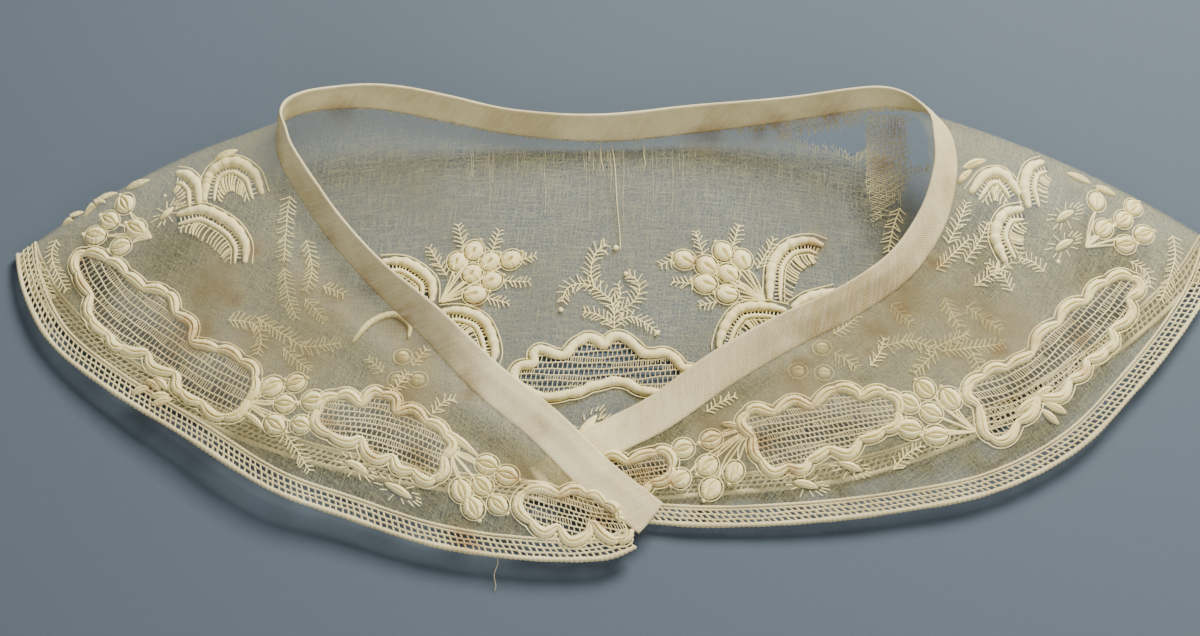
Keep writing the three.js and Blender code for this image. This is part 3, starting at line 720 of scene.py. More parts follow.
# %% Berries and plumes
SPRAYS = {
    "left_side": ("left", (243, 401), [
        (272, 387), (296, 383), (285, 404), (313, 401), (301, 425), (275, 425)]),
    "left_front": ("left", (450, 451), [
        (487, 465), (507, 476), (461, 491), (482, 486), (473, 508), (498, 505)]),
    "left_shoulder": ("left", (152, 238), [(125, 204), (110, 221), (96, 236), (136, 229), (121, 247)]),
    "back_left": ("back", (440, 303), [
        (474, 251), (457, 262), (472, 274), (490, 262), (511, 260), (492, 281), (475, 295)]),
    "back_right": ("back", (765, 301), [
        (684, 260), (706, 266), (723, 252), (742, 260), (728, 274), (705, 284), (727, 295)]),
    "right_shoulder": ("right", (1085, 248), [
        (1096, 202), (1123, 220), (1103, 229), (1143, 235), (1125, 245), (1133, 208)]),
    "right_side": ("right", (976, 432), [
        (925, 389), (950, 399), (908, 403), (931, 413), (910, 429), (936, 436)]),
    "right_front": ("right", (752, 427), [
        (711, 440), (683, 449), (707, 466), (734, 472), (711, 489), (680, 479)]),
}
PLUMES = {
    "back_left": ("back", [
        [(380, 262), (403, 262), (422, 272), (432, 284), (432, 303)],
        [(440, 312), (460, 311), (480, 318), (490, 332), (495, 352), (491, 365)]]),
    "back_right": ("back", [
        [(770, 302), (770, 284), (773, 263), (787, 246), (808, 241), (824, 246)],
        [(787, 311), (766, 307), (741, 309), (727, 323), (720, 340), (719, 350)],
        [(791, 309), (808, 298), (836, 291)]]),
    "left_shoulder": ("left", [
        [(200, 205), (198, 187), (189, 176), (176, 173)],
        [(204, 202), (212, 172), (235, 162), (255, 174), (263, 195)],
        [(176, 215), (204, 210), (230, 223), (245, 243), (245, 264)]]),
    "right_shoulder": ("right", [
        [(1029, 209), (1024, 187), (1029, 169), (1044, 162)],
        [(970, 194), (984, 176), (1002, 174), (1020, 196)],
        [(1006, 263), (995, 236), (1004, 214), (1024, 209)]]),
}
print(sum(len(spray[2]) for spray in SPRAYS.values()), "berries,",
      sum(len(plume[1]) for plume in PLUMES.values()), "plumes")

# %% [markdown]
# ## The muslin ground
# The ground is one sheet cut as a wide curved shape and folded over at the shoulders. A flat plane
# could be draped by simulation, but a cloth this sheer shows where every fold lies, so its grid is laid
# straight onto the charted surface. Cells inside the net panels, at the tear and along the eyelet lines
# come away, and a thin Solidify gives the wall. Its UV map is the flat cut, so the weave runs true.

# %% The flat cut: each strip between two sections turns by what the hem has more than the neck
flat_places = np.linspace(0, LAST, 481)
neck_steps = np.diff(run_lengths(between(NECK, flat_places)))
hem_steps = np.diff(run_lengths(between(HEM, flat_places)))
flat_depth = depth_at(flat_places)
turns = np.concatenate([[0], np.cumsum((hem_steps - neck_steps) / flat_depth[1:])])
turns -= turns[len(turns) // 2]
middle_turns = (turns[1:] + turns[:-1]) / 2
neck_moves = neck_steps[:, None] * np.stack([np.cos(middle_turns), np.sin(middle_turns)], 1)
flat_neck = np.concatenate([[[0, 0]], np.cumsum(neck_moves, 0)])
flat_down = np.stack([np.sin(turns), -np.cos(turns)], 1)


def flat_spot(place, up):
    neck = np.stack([np.interp(place, flat_places, flat_neck[:, k]) for k in (0, 1)], -1)
    turn = np.interp(place, flat_places, turns)
    down = depth_at(place) - up
    return neck + np.stack([np.sin(turn), -np.cos(turn)], -1) * down[..., None]


flat_hem = flat_neck + flat_down * flat_depth[:, None]
flat_outline = np.concatenate([flat_neck, flat_hem[::-1]])
x, y = flat_outline.T

# %% Lay the grid on the surface
COLUMNS, ROWS = 520, 66
TEAR = [(779, 133), (800, 127), (850, 118), (900, 112), (918, 117), (927, 140), (929, 168), (914, 172),
        (884, 160), (866, 153), (856, 160), (836, 152), (806, 146)]
along_lines = np.linspace(hem_lengths[0], hem_lengths[-1], COLUMNS + 1)
places = place_of(along_lines)
bottom = np.full(places.shape, EDGING_WIDTH - 0.5)
ups = bottom[:, None] + (depth_at(places) - bottom)[:, None] * np.linspace(0, 1, ROWS + 1)
grid_places = np.repeat(places[:, None], ROWS + 1, 1)
grid_points = cloth_point(grid_places, ups)
grid_flat = flat_spot(grid_places, ups)
bm = bmesh.new()
verts = bmesh.ops.create_grid(bm, x_segments=ROWS, y_segments=COLUMNS, size=0.5)["verts"]
cut_uv = bm.loops.layers.uv.new("flat_cut")
flat_of = dict(zip(verts, (grid_flat * MM).reshape(-1, 2).tolist()))
spot_of = dict(zip(verts, np.stack([grid_places, ups], -1).reshape(-1, 2)))
for vert, point in zip(verts, (grid_points * MM).reshape(-1, 3).tolist()):
    vert.co = point
for face in bm.faces:
    face.smooth = True
    for loop in face.loops:
        loop[cut_uv].uv = flat_of[loop.vert]
faces = list(bm.faces)
face_spots = np.array([np.mean([spot_of[vert] for vert in face.verts], 0) for face in faces])
gone = np.zeros(len(faces), bool)
for run in panel_runs.values():
    near = np.abs(face_spots[:, 0] - run[:, 0].mean()) < 5
    gone[near] |= inside(run, face_spots[near])
tear_loop = at("back", TEAR)
gone |= inside(tear_loop, face_spots)
print(len(faces), "cells,", int(gone.sum()), "open")

# %% Eyelets: a narrow open line inside each plume, which small bars will divide
EYELET_IN = 1.75               # mm inside the plume's middle line
EYELET_REACH = 0.75
plume_runs = {}
for name, (layer, arcs) in PLUMES.items():
    for arc in arcs:
        run = smooth_run(at(layer, arc), STITCH / 2)
        points = points_of(run)
        middle = len(points) // 2
        chord = (points[0] + points[-1]) / 2 - points[middle]
        aside = np.cross([0, 0, 1], headings(points, False)[middle])
        inner = 1 if np.dot(chord, aside) > 0 else -1
        plume_runs.setdefault(name, []).append((run, inner))
face_points = points_of(face_spots)
for runs in plume_runs.values():
    for run, inner in runs:
        line = shift(run, inner * EYELET_IN)[3:-3:2]
        for point in points_of(line):
            gone |= ((face_points - point) ** 2).sum(1) < EYELET_REACH ** 2
bmesh.ops.delete(bm, geom=[faces[n] for n in np.flatnonzero(gone)], context="FACES")
print(int(gone.sum()), "cells open with the eyelet lines")

# %% Finish the sheet, easing the torn edge so that it doesn't follow the cells
bmesh.ops.delete(bm, geom=[vert for vert in bm.verts if not vert.link_faces], context="VERTS")
tear_middle, tear_reach = tear_loop.mean(0), np.ptp(tear_loop, axis=0) * 0.75
torn_edge = [vert for vert in bm.verts if vert.is_boundary
             and (np.abs(spot_of[vert] - tear_middle) < tear_reach).all()]
for _ in range(8):
    eased = []
    for vert in torn_edge:
        beside = [edge.other_vert(vert).co for edge in vert.link_edges if edge.is_boundary]
        eased.append(vert.co * 0.5 + sum(beside[1:], beside[0]) * (0.5 / len(beside)))
    for vert, place_here in zip(torn_edge, eased):
        vert.co = place_here
print(len(torn_edge), "points of the torn edge eased")
ground_mesh = bpy.data.meshes.new("muslin")
bm.to_mesh(ground_mesh)
bm.free()
muslin = add_piece("muslin", ground_mesh, muslin_finish, ["muslin_ground"])
wall = muslin.modifiers.new("wall", "SOLIDIFY")
wall.thickness = THREAD_CLOTH * MM
wall.offset = 0
print("muslin", len(ground_mesh.polygons), "cells")

# %% [markdown]
# ## The bias neckband
# A strip cut on the cross is folded over the neck edge, because cloth cut that way stretches round a
# curve. Its section is a flat loop with a round fold at the neck and a pinched seam, swept along the
# neck line and leaned as the table says. Slow waves keep it from looking like moulded tape.

# %% Sweep the band
BAND_COUNT = 560
TAIL_COUNT = 10
HALF_WALL = 0.5
ring_places = np.linspace(0, LAST, BAND_COUNT + 1)
neck_line = between(NECK, ring_places)
neck_ahead = headings(neck_line, False)
tail = np.linspace(1, 0.1, TAIL_COUNT)[:, None] * BAND_TAIL
neck_line = np.concatenate([
    neck_line[:1] - neck_ahead[:1] * tail, neck_line, neck_line[-1:] + neck_ahead[-1:] * tail[::-1]])
ring_places = np.concatenate([np.zeros(TAIL_COUNT), ring_places, np.full(TAIL_COUNT, float(LAST))])
neck_ahead = headings(neck_line, False)
neck_lengths = run_lengths(neck_line)
lean = np.radians(between(LEAN, ring_places))
inward = unit(np.stack([neck_ahead[:, 1], -neck_ahead[:, 0], np.zeros(len(neck_ahead))], 1))
across = inward * np.cos(lean)[:, None] + np.array([0, 0, 1]) * np.sin(lean)[:, None]
off = unit(np.cross(neck_ahead, across))
out_widths = np.array([0, 0.6, 1.6, 3, 4.5, 6, 7.4, 8.6, 9.4])
fold = [(9.85, 0.75), (10, 0), (9.85, -0.75)]
loop = [(w, 1) for w in out_widths] + fold + [(w, -1) for w in out_widths[::-1]] + [(0, 1)]
widths, sides = np.array(loop).T
share = widths / BAND_WIDTH
pinch = 0.45 + 0.55 * np.sin(np.clip(share, 0, 1) * math.pi) ** 0.5
pinch = np.where(widths > 8, np.maximum(pinch, 0.85), pinch)
wave = 0.35 * np.sin(neck_lengths / 8.5 + 1.2 * np.sin(neck_lengths / 27))
fine_wave = 0.12 * np.sin(neck_lengths / 2.3 + 2 * np.sin(neck_lengths / 11))
stretch = 1 + 0.03 * np.sin(neck_lengths / 13)
bend = wave[:, None] * share ** 2 + fine_wave[:, None] * np.sin(share * math.pi)
crease = -0.45 * np.exp(-((widths - 6.6) / 1.1) ** 2) * (0.6 + 0.4 * np.sin(neck_lengths / 19))[:, None]
height = sides * HALF_WALL * pinch + bend + crease
rings = (neck_line[:, None] + across[:, None] * (widths * stretch[:, None])[..., None]
         + off[:, None] * height[..., None])
rings[0], rings[-1] = rings[0].mean(0), rings[-1].mean(0)
band = add_sweep("neckband_strip", [(rings, neck_lengths)], ["neckband"], band_finish).data
print("band", round(neck_lengths[-1]), "mm long")

# %% The band's weave runs along and round it
stitch_values = np.zeros(len(band.vertices) * 3)
band.attributes["stitch"].data.foreach_get("vector", stitch_values)
loop_verts = np.zeros(len(band.loops), int)
band.loops.foreach_get("vertex_index", loop_verts)
band_uv = stitch_values.reshape(-1, 3)[loop_verts][:, :2] * (1, BAND_ROUND * MM)
band.uv_layers.new(name="flat_cut").data.foreach_set("uv", band_uv.ravel())
print("weave laid on", len(band.polygons), "faces")

# %% [markdown]
# ## The drawn hem
# The hem is a row of drawn threadwork between two rolled edges. Each roll is whipped with thread, which
# a swept tube shows as slanting ridges. Between them two straight threads are joined by short bars, set
# like the joints of brickwork.

# %% Rolled edges
ROLLS = ((0.65, 0.66, 8), (5.75, 0.4, 7), (4.95, 0.26, 5))     # up from the hem, radius, sides


def rolled_edge(up, radius, sides, step=0.42, whip=1.3):
    count = int((hem_lengths[-1] - hem_lengths[0]) / step)
    along = np.linspace(hem_lengths[0], hem_lengths[-1], count + 1)
    point, _, _, normal = cloth_frame(hem_spots(along, up))
    point[:, 2] = np.maximum(point[:, 2], radius * 1.35)
    aside = np.cross(normal, headings(point, False))
    turn = np.linspace(0, 2 * math.pi, sides + 1)
    swell = radius * (1 + 0.16 * np.cos(2 * math.pi * along[:, None] / whip - turn))
    swell = swell * (1 + 0.12 * np.sin(along / 5.3 + np.sin(along / 2.1)))[:, None]
    rings = point[:, None] + aside[:, None] * (np.cos(turn) * swell)[..., None]
    rings = rings + normal[:, None] * (np.sin(turn) * swell)[..., None]
    rings[0], rings[-1] = point[0], point[-1]
    rings[:, -1] = rings[:, 0]
    return rings, along - along[0]


add_sweep("hem_rolls", [rolled_edge(*roll) for roll in ROLLS], ["hem_edging"], net_finish)
print(len(ROLLS), "rolled edges")

# %% Brickwork of bars between straight threads
HEM_ROWS = (2.35, 3.6)
BAR_STEP = 1.75
along = np.arange(hem_lengths[0], hem_lengths[-1], 0.5)
hem_paths, hem_radii = [], [0.25] * len(HEM_ROWS)
for row, up in enumerate(HEM_ROWS):
    height = up + 0.1 * np.sin(along / 1.7 + row * 2) + 0.12 * np.sin(along / 6 + row)
    hem_paths.append(laid(hem_spots(along, height), 0.02))
for row, (low, high) in enumerate(zip((0.9,) + HEM_ROWS, HEM_ROWS + (4.95,))):
    for x in np.arange(hem_lengths[0] + 0.5 + 0.5 * BAR_STEP * (row % 2), hem_lengths[-1] - 0.5, BAR_STEP):
        x = x + dice.normal(0, 0.08)
        lean_over = 0.75 + dice.normal(0, 0.12)
        hem_paths.append(laid(hem_spots(np.array([x, x + lean_over]), [low, high]), 0))
        hem_radii.append(0.22 + dice.uniform(0, 0.1))
add_threads("hem_net", hem_paths, hem_radii, net_finish)
print("hem net", len(hem_paths), "threads")

# %% [markdown]
# ## Net panels and their padded cords
# Inside each scalloped loop the muslin is cut away and filled with a needle-made net: bars a couple of
# millimetres apart, crossed by shorter threads. The loop is a cord of satin stitches over padding,
# with a groove along it, and a fine thread runs round outside.

# %% Nets
NET_COLUMN = 1.3
NET_ROWS = {"back": 1.75, "left_side": 1.95, "right_side": 1.9}
OTHER_ROWS = 1.42
BEYOND = 14                    # rows start this far below a loop, since they bend with the cloth
fine_places = np.linspace(0, LAST, 600)
panel_heights = between(PANEL, fine_places)


def net_paths(run, row_step):
    loop = np.stack([along_of(run[:, 0]), run[:, 1]], 1)
    low, high = loop.min(0), loop.max(0)
    middle = place_of((low[0] + high[0]) / 2)
    middle_up = (low[1] + high[1]) / 2
    near = cloth_point(middle, middle_up)
    beside = cloth_point(place_of(along_of(middle) + 1), middle_up)
    column = NET_COLUMN / np.linalg.norm(beside - near)
    centre_height = np.interp(middle, fine_places, panel_heights)
    paths, radii = [], []

    def row_height(x, up):
        bend = np.interp(place_of(x), fine_places, panel_heights) - centre_height
        return up + bend + 0.12 * np.sin(x / 1.7 + up * 2) + 0.15 * np.sin(x / 6 + up)

    def add(line, lift, radius):
        paths.append(laid(hem_spots(*line.T), lift))
        radii.append(radius)

    for row, up in enumerate(np.arange(low[1] - BEYOND, high[1] + BEYOND, row_step)):
        x = np.arange(low[0], high[0], 0.3 * column)
        line = np.stack([x, row_height(x, up)], 1)
        keep = np.flatnonzero(inside(loop, line))
        for part in np.split(keep, np.flatnonzero(np.diff(keep) > 1) + 1):
            if len(part) > 2:
                add(line[part], 0.1, 0.21)
        x = np.arange(low[0] + 0.5 * column * (row % 2), high[0], column)
        filled = np.sin(x / 8 + row * 1.9) > 0.75
        x = np.concatenate([x, x[filled] + 0.45 * column])
        x = x + dice.normal(0, 0.05, len(x))
        lean_over = dice.normal(0.1, 0.06, len(x))
        foot = np.stack([x, row_height(x, up)], 1)
        head = np.stack([x + lean_over, row_height(x + lean_over, up + row_step)], 1)
        foot_in, head_in = inside(loop, foot), inside(loop, head)
        both = foot_in & head_in
        for ends in zip(foot[both], head[both]):
            add(np.array(ends), 0.08, 0.14)
        for edge in np.concatenate([foot[foot_in & ~both], head[head_in & ~both]]):
            add(np.array([edge - (0, 0.8), edge + (0, 0.8)]), 0.02, 0.15)
    return paths, radii


for name, run in panel_runs.items():
    paths, radii = net_paths(run, NET_ROWS.get(name, OTHER_ROWS))
    add_threads("net_" + name, paths, radii, net_finish)
    print("net", name, len(paths), "threads")

# %% Padded cords with their outline threads
for name, run in panel_runs.items():
    loop, cords = run[:-1], []
    if name == "back":
        lengths = run_lengths(points_of(run))
        swell = 1 + 0.07 * np.sin(lengths * 2 * math.pi * 24 / lengths[-1])
        cords.append(satin(run, CORD_WIDTH * swell, CORD_HEIGHT * swell, closed=True))
    else:
        cusps = panel_cusps[name]
        for first, after in zip(cusps, cusps[1:]):
            part = loop[np.arange(first - 2, after + 3) % len(loop)]
            shape = leaf_shape(len(part), 0.4)
            cords.append(satin(part, CORD_WIDTH * 1.12 * shape, CORD_HEIGHT * 1.08 * shape, 0.78, 0.0))
    add_sweep("cord_" + name, cords, ["panel_border_" + name])
    outer = shift(run[::2], 1.85 * outward(run), closed=True)
    add_threads("outline_" + name, [laid(outer, 0.2)], 0.21)
print(len(panel_runs), "cords")

# %% [markdown]
# ## Berries, stems and plumes
# A berry is two padded halves with a slit between, so its section has a deep groove. It swells and
# narrows like a leaf, longest away from the root of its stems. A plume is a thick curl, with a fine
# thread outside, its eyelets inside, and a thin inner line with short strokes.

# %% Berries on their stems
def stitched(spots, width, height, blunt=0.4):
    run = smooth_run(spots, STITCH / 2)
    shape = leaf_shape(len(run), blunt)
    return satin(run, width * shape, height * shape)


for name, (layer, root_pixel, pixels) in SPRAYS.items():
    root = at(layer, [root_pixel])[0]
    strokes, outlines = [], []
    for berry in at(layer, pixels):
        outwards = berry - root
        away = cloth_point(*berry) - cloth_point(*root)
        scale = dice.uniform(0.92, 1.08)
        reach = 0.53 * BERRY_LENGTH * scale / np.linalg.norm(away)
        wide = BERRY_WIDTH * 1.12 * scale
        ends = np.array([berry + outwards * share for share in (-reach, 0, reach)])
        run = smooth_run(ends, STITCH / 2)
        shape = leaf_shape(len(run), 0.55)
        t = np.linspace(0, 1, len(run))
        groove, parting = 0.8, 0.13 * np.sin(math.pi * t) ** 0.7
        if layer == "back":
            groove, parting = 0.85 * np.clip((0.62 - t) / 0.15, 0, 1), 0.0
        strokes.append(satin(run, wide * shape, BERRY_HEIGHT * shape ** 0.7, groove, parting, ridge=0.05))
        turn = np.linspace(0, 2 * math.pi, 25)
        ring_run = np.array([berry + outwards * (reach * 1.12 * math.cos(t)) for t in turn])
        point, _, _, normal = cloth_frame(ring_run)
        aside = np.cross(normal[0], unit(away)) * (np.sin(turn) * (wide / 2 + 0.4))[:, None]
        outlines.append(point + aside + normal * 0.2)
        bud = [berry + outwards * reach * share for share in (1.08, 1.25, 1.42)]
        strokes.append(stitched(bud, 1.3, 0.9))
        bow = (berry + root) / 2 + np.array([0.02, 0.6]) * dice.uniform(-1, 1)
        strokes.append(stitched([root, bow, ends[0]], 0.55, 0.45, 0))
        strokes.append(stitched([root, bow + np.array([0.03, 0.7]), ends[0]], 0.5, 0.4, 0))
    add_sweep("berry_work_" + name, strokes, ["berries_" + name])
    add_threads("berry_outline_" + name, outlines, 0.17)
print(len(SPRAYS), "sprays")

# %% Plumes
EYELET_STEP = 1.15
STROKE_STEP = 1.5
STROKE_SHAPE = np.array([[f, 0.3 * math.sin(math.pi * f), 0.25 + 0.2 * math.sin(math.pi * f)]
                         for f in (0, 0.3, 0.6, 1)])
for name, runs in plume_runs.items():
    strokes, lines, radii = [], [], []
    for run, inner in runs:
        lengths = run_lengths(points_of(run))
        shape = leaf_shape(len(run), 0.3) * (1 + 0.09 * np.sin(lengths * 2 * math.pi / 3.1))
        strokes.append(satin(run, PLUME_WIDTH * 1.08 * shape, PLUME_HEIGHT * shape, ridge=0.14))
        strokes.append(stitched(shift(run, inner * 2.8)[::4], 1.5, 0.8, 0.3))
        coarse = run[::2]
        coarse_points = points_of(coarse)
        top, foot = coarse_points[len(coarse) // 2], (coarse_points[0] + coarse_points[-1]) / 2
        sagitta = np.linalg.norm(top - foot)
        longest = np.clip(0.55 * sagitta, 1.2, 3.4)
        common = unit(foot - top)
        lines.append(laid(shift(coarse, -inner * 1.95), 0.2))
        radii.append(0.2)
        if sagitta >= 4:
            lines.append(laid(shift(coarse, inner * 3.95), 0.2))
            radii.append(0.17)
        lengths = run_lengths(coarse_points)

        def beside(wanted):
            n = min(int(np.searchsorted(lengths, wanted)), len(coarse) - 2)
            return coarse[max(n - 1, 0):n + 2]

        for wanted in np.arange(0.8, lengths[-1] - 0.8, EYELET_STEP):
            part = beside(wanted)
            bar = np.array([shift(part, inner * d)[len(part) // 2] for d in (1.2, 2.3)])
            lines.append(laid(bar, 0.15))
            radii.append(0.22)
        for wanted in np.arange(1.5, lengths[-1] - 1.2, STROKE_STEP):
            point, _, _, normal = cloth_frame(beside(wanted))
            middle = len(point) // 2
            forward = headings(point, False)[middle]
            side = np.cross(normal[middle], forward) * inner
            long = 1 + longest * dice.uniform(0.9, 1.1) * math.sin(math.pi * wanted / lengths[-1]) ** 0.6
            way = unit(side * 0.35 + common * 0.65)
            ahead_by, bow, lift = STROKE_SHAPE.T[..., None]
            lines.append(point[middle] + 3.7 * side + long * ahead_by * way - bow * forward
                         + lift * normal[middle])
            radii.append(0.25)
    add_sweep("plume_work_" + name, strokes, ["plumes_" + name])
    add_threads("plume_lines_" + name, lines, radii)
print(len(plume_runs), "groups of plumes")

# %% [markdown]
# ## Sprigs, leaves and rays
# Fine sprigs are a spine with short slanting stitches on both sides, which are only threads. Small
# leaves are padded like half a berry, and some stand in a ring of rays. All are charted as pixels on their
# layer.

# %% Herringbone sprigs: for each group the layer, then length of a stitch in mm, and the spine
SPRIGS = {
    "centre": ("back", [
        (2.1, [(614, 329), (614, 312), (609, 299), (594, 286), (591, 269), (596, 253), (607, 244)]),
        (1.9, [(596, 287), (580, 284), (567, 289), (562, 302)]),
        (1.9, [(615, 312), (630, 305), (639, 293), (637, 281), (629, 275)]),
        (1.7, [(612, 324), (598, 315), (583, 312)]),
        (1.7, [(616, 322), (632, 317), (646, 324), (655, 331)]),
        (1.5, [(611, 306), (620, 296), (618, 284)])]),
    "back_right": ("back", [
        (1.6, [(676, 258), (659, 266)]), (1.6, [(703, 255), (696, 233)]),
        (1.6, [(733, 246), (739, 225)]), (1.7, [(757, 269), (773, 241)]),
        (1.6, [(695, 284), (672, 282)]), (1.6, [(717, 302), (698, 306)])]),
    "back_left": ("back", [
        (1.6, [(464, 249), (458, 225)]), (1.6, [(491, 254), (499, 232)]),
        (1.6, [(514, 262), (535, 256)]), (1.6, [(503, 281), (528, 282)]),
        (1.6, [(486, 298), (507, 303)]), (1.7, [(447, 276), (430, 249)])]),
    "back_under_left": ("back", [
        (1.9, [(228, 320), (253, 324), (261, 339), (257, 355)]),
        (1.9, [(257, 318), (289, 338), (305, 347), (340, 343)]),
        (1.8, [(283, 348), (297, 361), (311, 371)]), (1.7, [(305, 299), (316, 310), (324, 321)]),
        (1.7, [(323, 287), (333, 290), (344, 295)]), (1.6, [(383, 373), (376, 366), (368, 359)]),
        (1.6, [(412, 366), (419, 358), (427, 349)]), (1.8, [(290, 196), (286, 232), (284, 262)]),
        (1.8, [(284, 268), (288, 296), (296, 318)]), (1.8, [(306, 240), (312, 268), (306, 292)])]),
    "back_under_right": ("back", [
        (1.9, [(886, 346), (910, 341), (934, 349)]), (1.9, [(943, 351), (972, 348), (1003, 344)]),
        (1.8, [(936, 352), (926, 362), (914, 374)]), (1.8, [(973, 353), (976, 362), (980, 372)]),
        (1.9, [(900, 208), (893, 228), (888, 252)]), (1.7, [(891, 304), (899, 313), (910, 323)]),
        (1.8, [(944, 298), (951, 312), (960, 327)]), (1.7, [(966, 306), (983, 318), (1001, 331)]),
        (1.7, [(833, 334), (845, 327), (857, 317)]), (1.7, [(834, 353), (846, 360), (858, 369)]),
        (1.6, [(935, 348), (952, 340), (968, 334)])]),
    "left_front": ("left", [
        (1.7, [(284, 433), (296, 449), (309, 470)]), (1.6, [(57, 240), (52, 252), (55, 268), (67, 291)]),
        (1.5, [(392, 396), (399, 384), (409, 372)]), (1.6, [(432, 414), (444, 402), (455, 399)]),
        (1.4, [(40, 262), (44, 281), (52, 298)])]),
    "right_front": ("right", [
        (1.7, [(1172, 236), (1175, 254), (1170, 276), (1161, 299)]),
        (1.8, [(948, 244), (958, 224), (966, 204)]), (1.8, [(965, 262), (980, 240), (988, 222)]),
        (1.8, [(1012, 292), (1003, 276), (990, 264)]), (1.7, [(1044, 272), (1032, 262), (1018, 258)]),
        (1.7, [(936, 270), (952, 255), (968, 240)]), (1.7, [(974, 286), (992, 274), (1011, 263)]),
        (1.7, [(893, 470), (905, 456), (921, 446)]), (1.5, [(1130, 262), (1146, 272), (1150, 288)]),
        (1.5, [(706, 412), (722, 402), (736, 396)]), (1.5, [(870, 366), (880, 352), (884, 338)])]),
}


SPINE_STEP = 0.26              # mm along the spine
STITCH_EVERY = 5               # steps of the spine
SPREAD = 0.95                  # from the spine to a stitch, in radians


def herringbone(spine, stitch_length):
    run = smooth_run(spine, SPINE_STEP)
    point, _, _, normal = cloth_frame(run)
    ahead_here = headings(point, False)
    aside = np.cross(normal, ahead_here)
    paths = [point[::2] + normal[::2] * 0.15]
    for n in range(1, len(run), STITCH_EVERY):
        grown = min(1, 0.55 + 0.45 * (len(run) - n) / 14)
        for side in (1, -1):
            reach = 1.4 * stitch_length * grown * dice.uniform(0.85, 1.15)
            start_point = point[n] + normal[n] * 0.18
            spread = SPREAD + dice.normal(0, 0.16)
            way = aside[n] * side * math.sin(spread) + ahead_here[n] * math.cos(spread)
            knee = start_point + way * reach * 0.5 + ahead_here[n] * 0.12 + normal[n] * 0.12
            paths.append(np.array([start_point, knee, start_point + way * reach]))
    return paths


for name, (layer, sprigs) in SPRIGS.items():
    paths = [path for size, spine in sprigs for path in herringbone(at(layer, spine), size)]
    add_threads("sprigs_" + name, paths, dice.uniform(0.15, 0.22, len(paths)))
print(sum(len(sprigs) for _, sprigs in SPRIGS.values()), "sprigs")

# %% Padded leaves: layer, base, tip, width in mm, and whether rays stand round it
LEAVES = [
    ("left", (243, 412), (264, 430), 1.7, False), ("left", (521, 482), (558, 492), 2.2, False),
    ("left", (345, 461), (368, 474), 2.0, True), ("left", (384, 483), (412, 499), 2.0, True),
    ("left", (131, 394), (150, 387), 1.9, False), ("left", (145, 380), (161, 391), 1.9, False),
    ("left", (154, 378), (168, 390), 1.8, False), ("left", (150, 397), (170, 396), 1.9, False),
    ("left", (151, 405), (173, 399), 1.9, False), ("left", (160, 220), (174, 207), 1.6, True),
    ("back", (575, 444), (597, 415), 2.4, True), ("back", (585, 438), (603, 422), 1.8, True),
    ("right", (1016, 413), (1042, 396), 2.0, False), ("right", (1043, 402), (1067, 414), 2.0, False),
    ("right", (1041, 409), (1059, 425), 1.9, False), ("right", (1034, 398), (1053, 387), 1.8, False),
    ("right", (1056, 222), (1074, 211), 2.0, True), ("right", (1055, 251), (1073, 240), 2.0, True),
    ("right", (838, 463), (862, 471), 2.0, True), ("right", (793, 482), (818, 488), 2.0, True),
    ("left", (441, 427), (479, 457), 1.9, False), ("right", (742, 428), (720, 424), 1.6, False),
    ("right", (1066, 173), (1091, 184), 2.0, False), ("right", (1094, 186), (1116, 196), 1.9, False),
    ("right", (962, 168), (986, 160), 2.0, False), ("right", (958, 184), (972, 170), 1.7, False),
    ("left", (62, 226), (84, 212), 1.8, False), ("left", (84, 218), (106, 203), 1.8, False),
    ("left", (92, 206), (118, 193), 1.7, False), ("left", (126, 189), (150, 180), 1.8, False),
    ("left", (214, 160), (238, 150), 2.0, False), ("left", (222, 166), (246, 160), 1.8, False),
]
leaf_strokes, ray_paths = [], []
for layer, base, tip, width, rays in LEAVES:
    ends = at(layer, [base, tip])
    bow = ends.mean(0) + np.array([0.0, 0.35])
    run = smooth_run([ends[0], bow, ends[1]], STITCH / 2)
    shape = leaf_shape(len(run), 0.7)
    leaf_strokes.append(satin(run, width * 1.15 * shape, 1.1 * shape, 0.6, ridge=0.06))
    if not rays:
        continue
    point, _, _, normal = cloth_frame(run)
    middle = point.mean(0)
    long = point[-1] - point[0]
    wide = np.cross(normal[0], unit(long)) * width * 0.75
    for turn in np.arange(-2.5, 2.6, 0.42):
        outwards = long * 0.62 * math.cos(turn) + wide * math.sin(turn)
        ray_start = middle + outwards + normal[0] * 0.15
        ray = unit(outwards + long * 0.02) * dice.uniform(1.6, 2.4)
        ray_paths.append(np.array([ray_start, ray_start + ray]))
add_sweep("padded_leaves", leaf_strokes)
add_threads("leaf_rays", ray_paths, 0.18)
print(len(LEAVES), "leaves,", len(ray_paths), "rays")

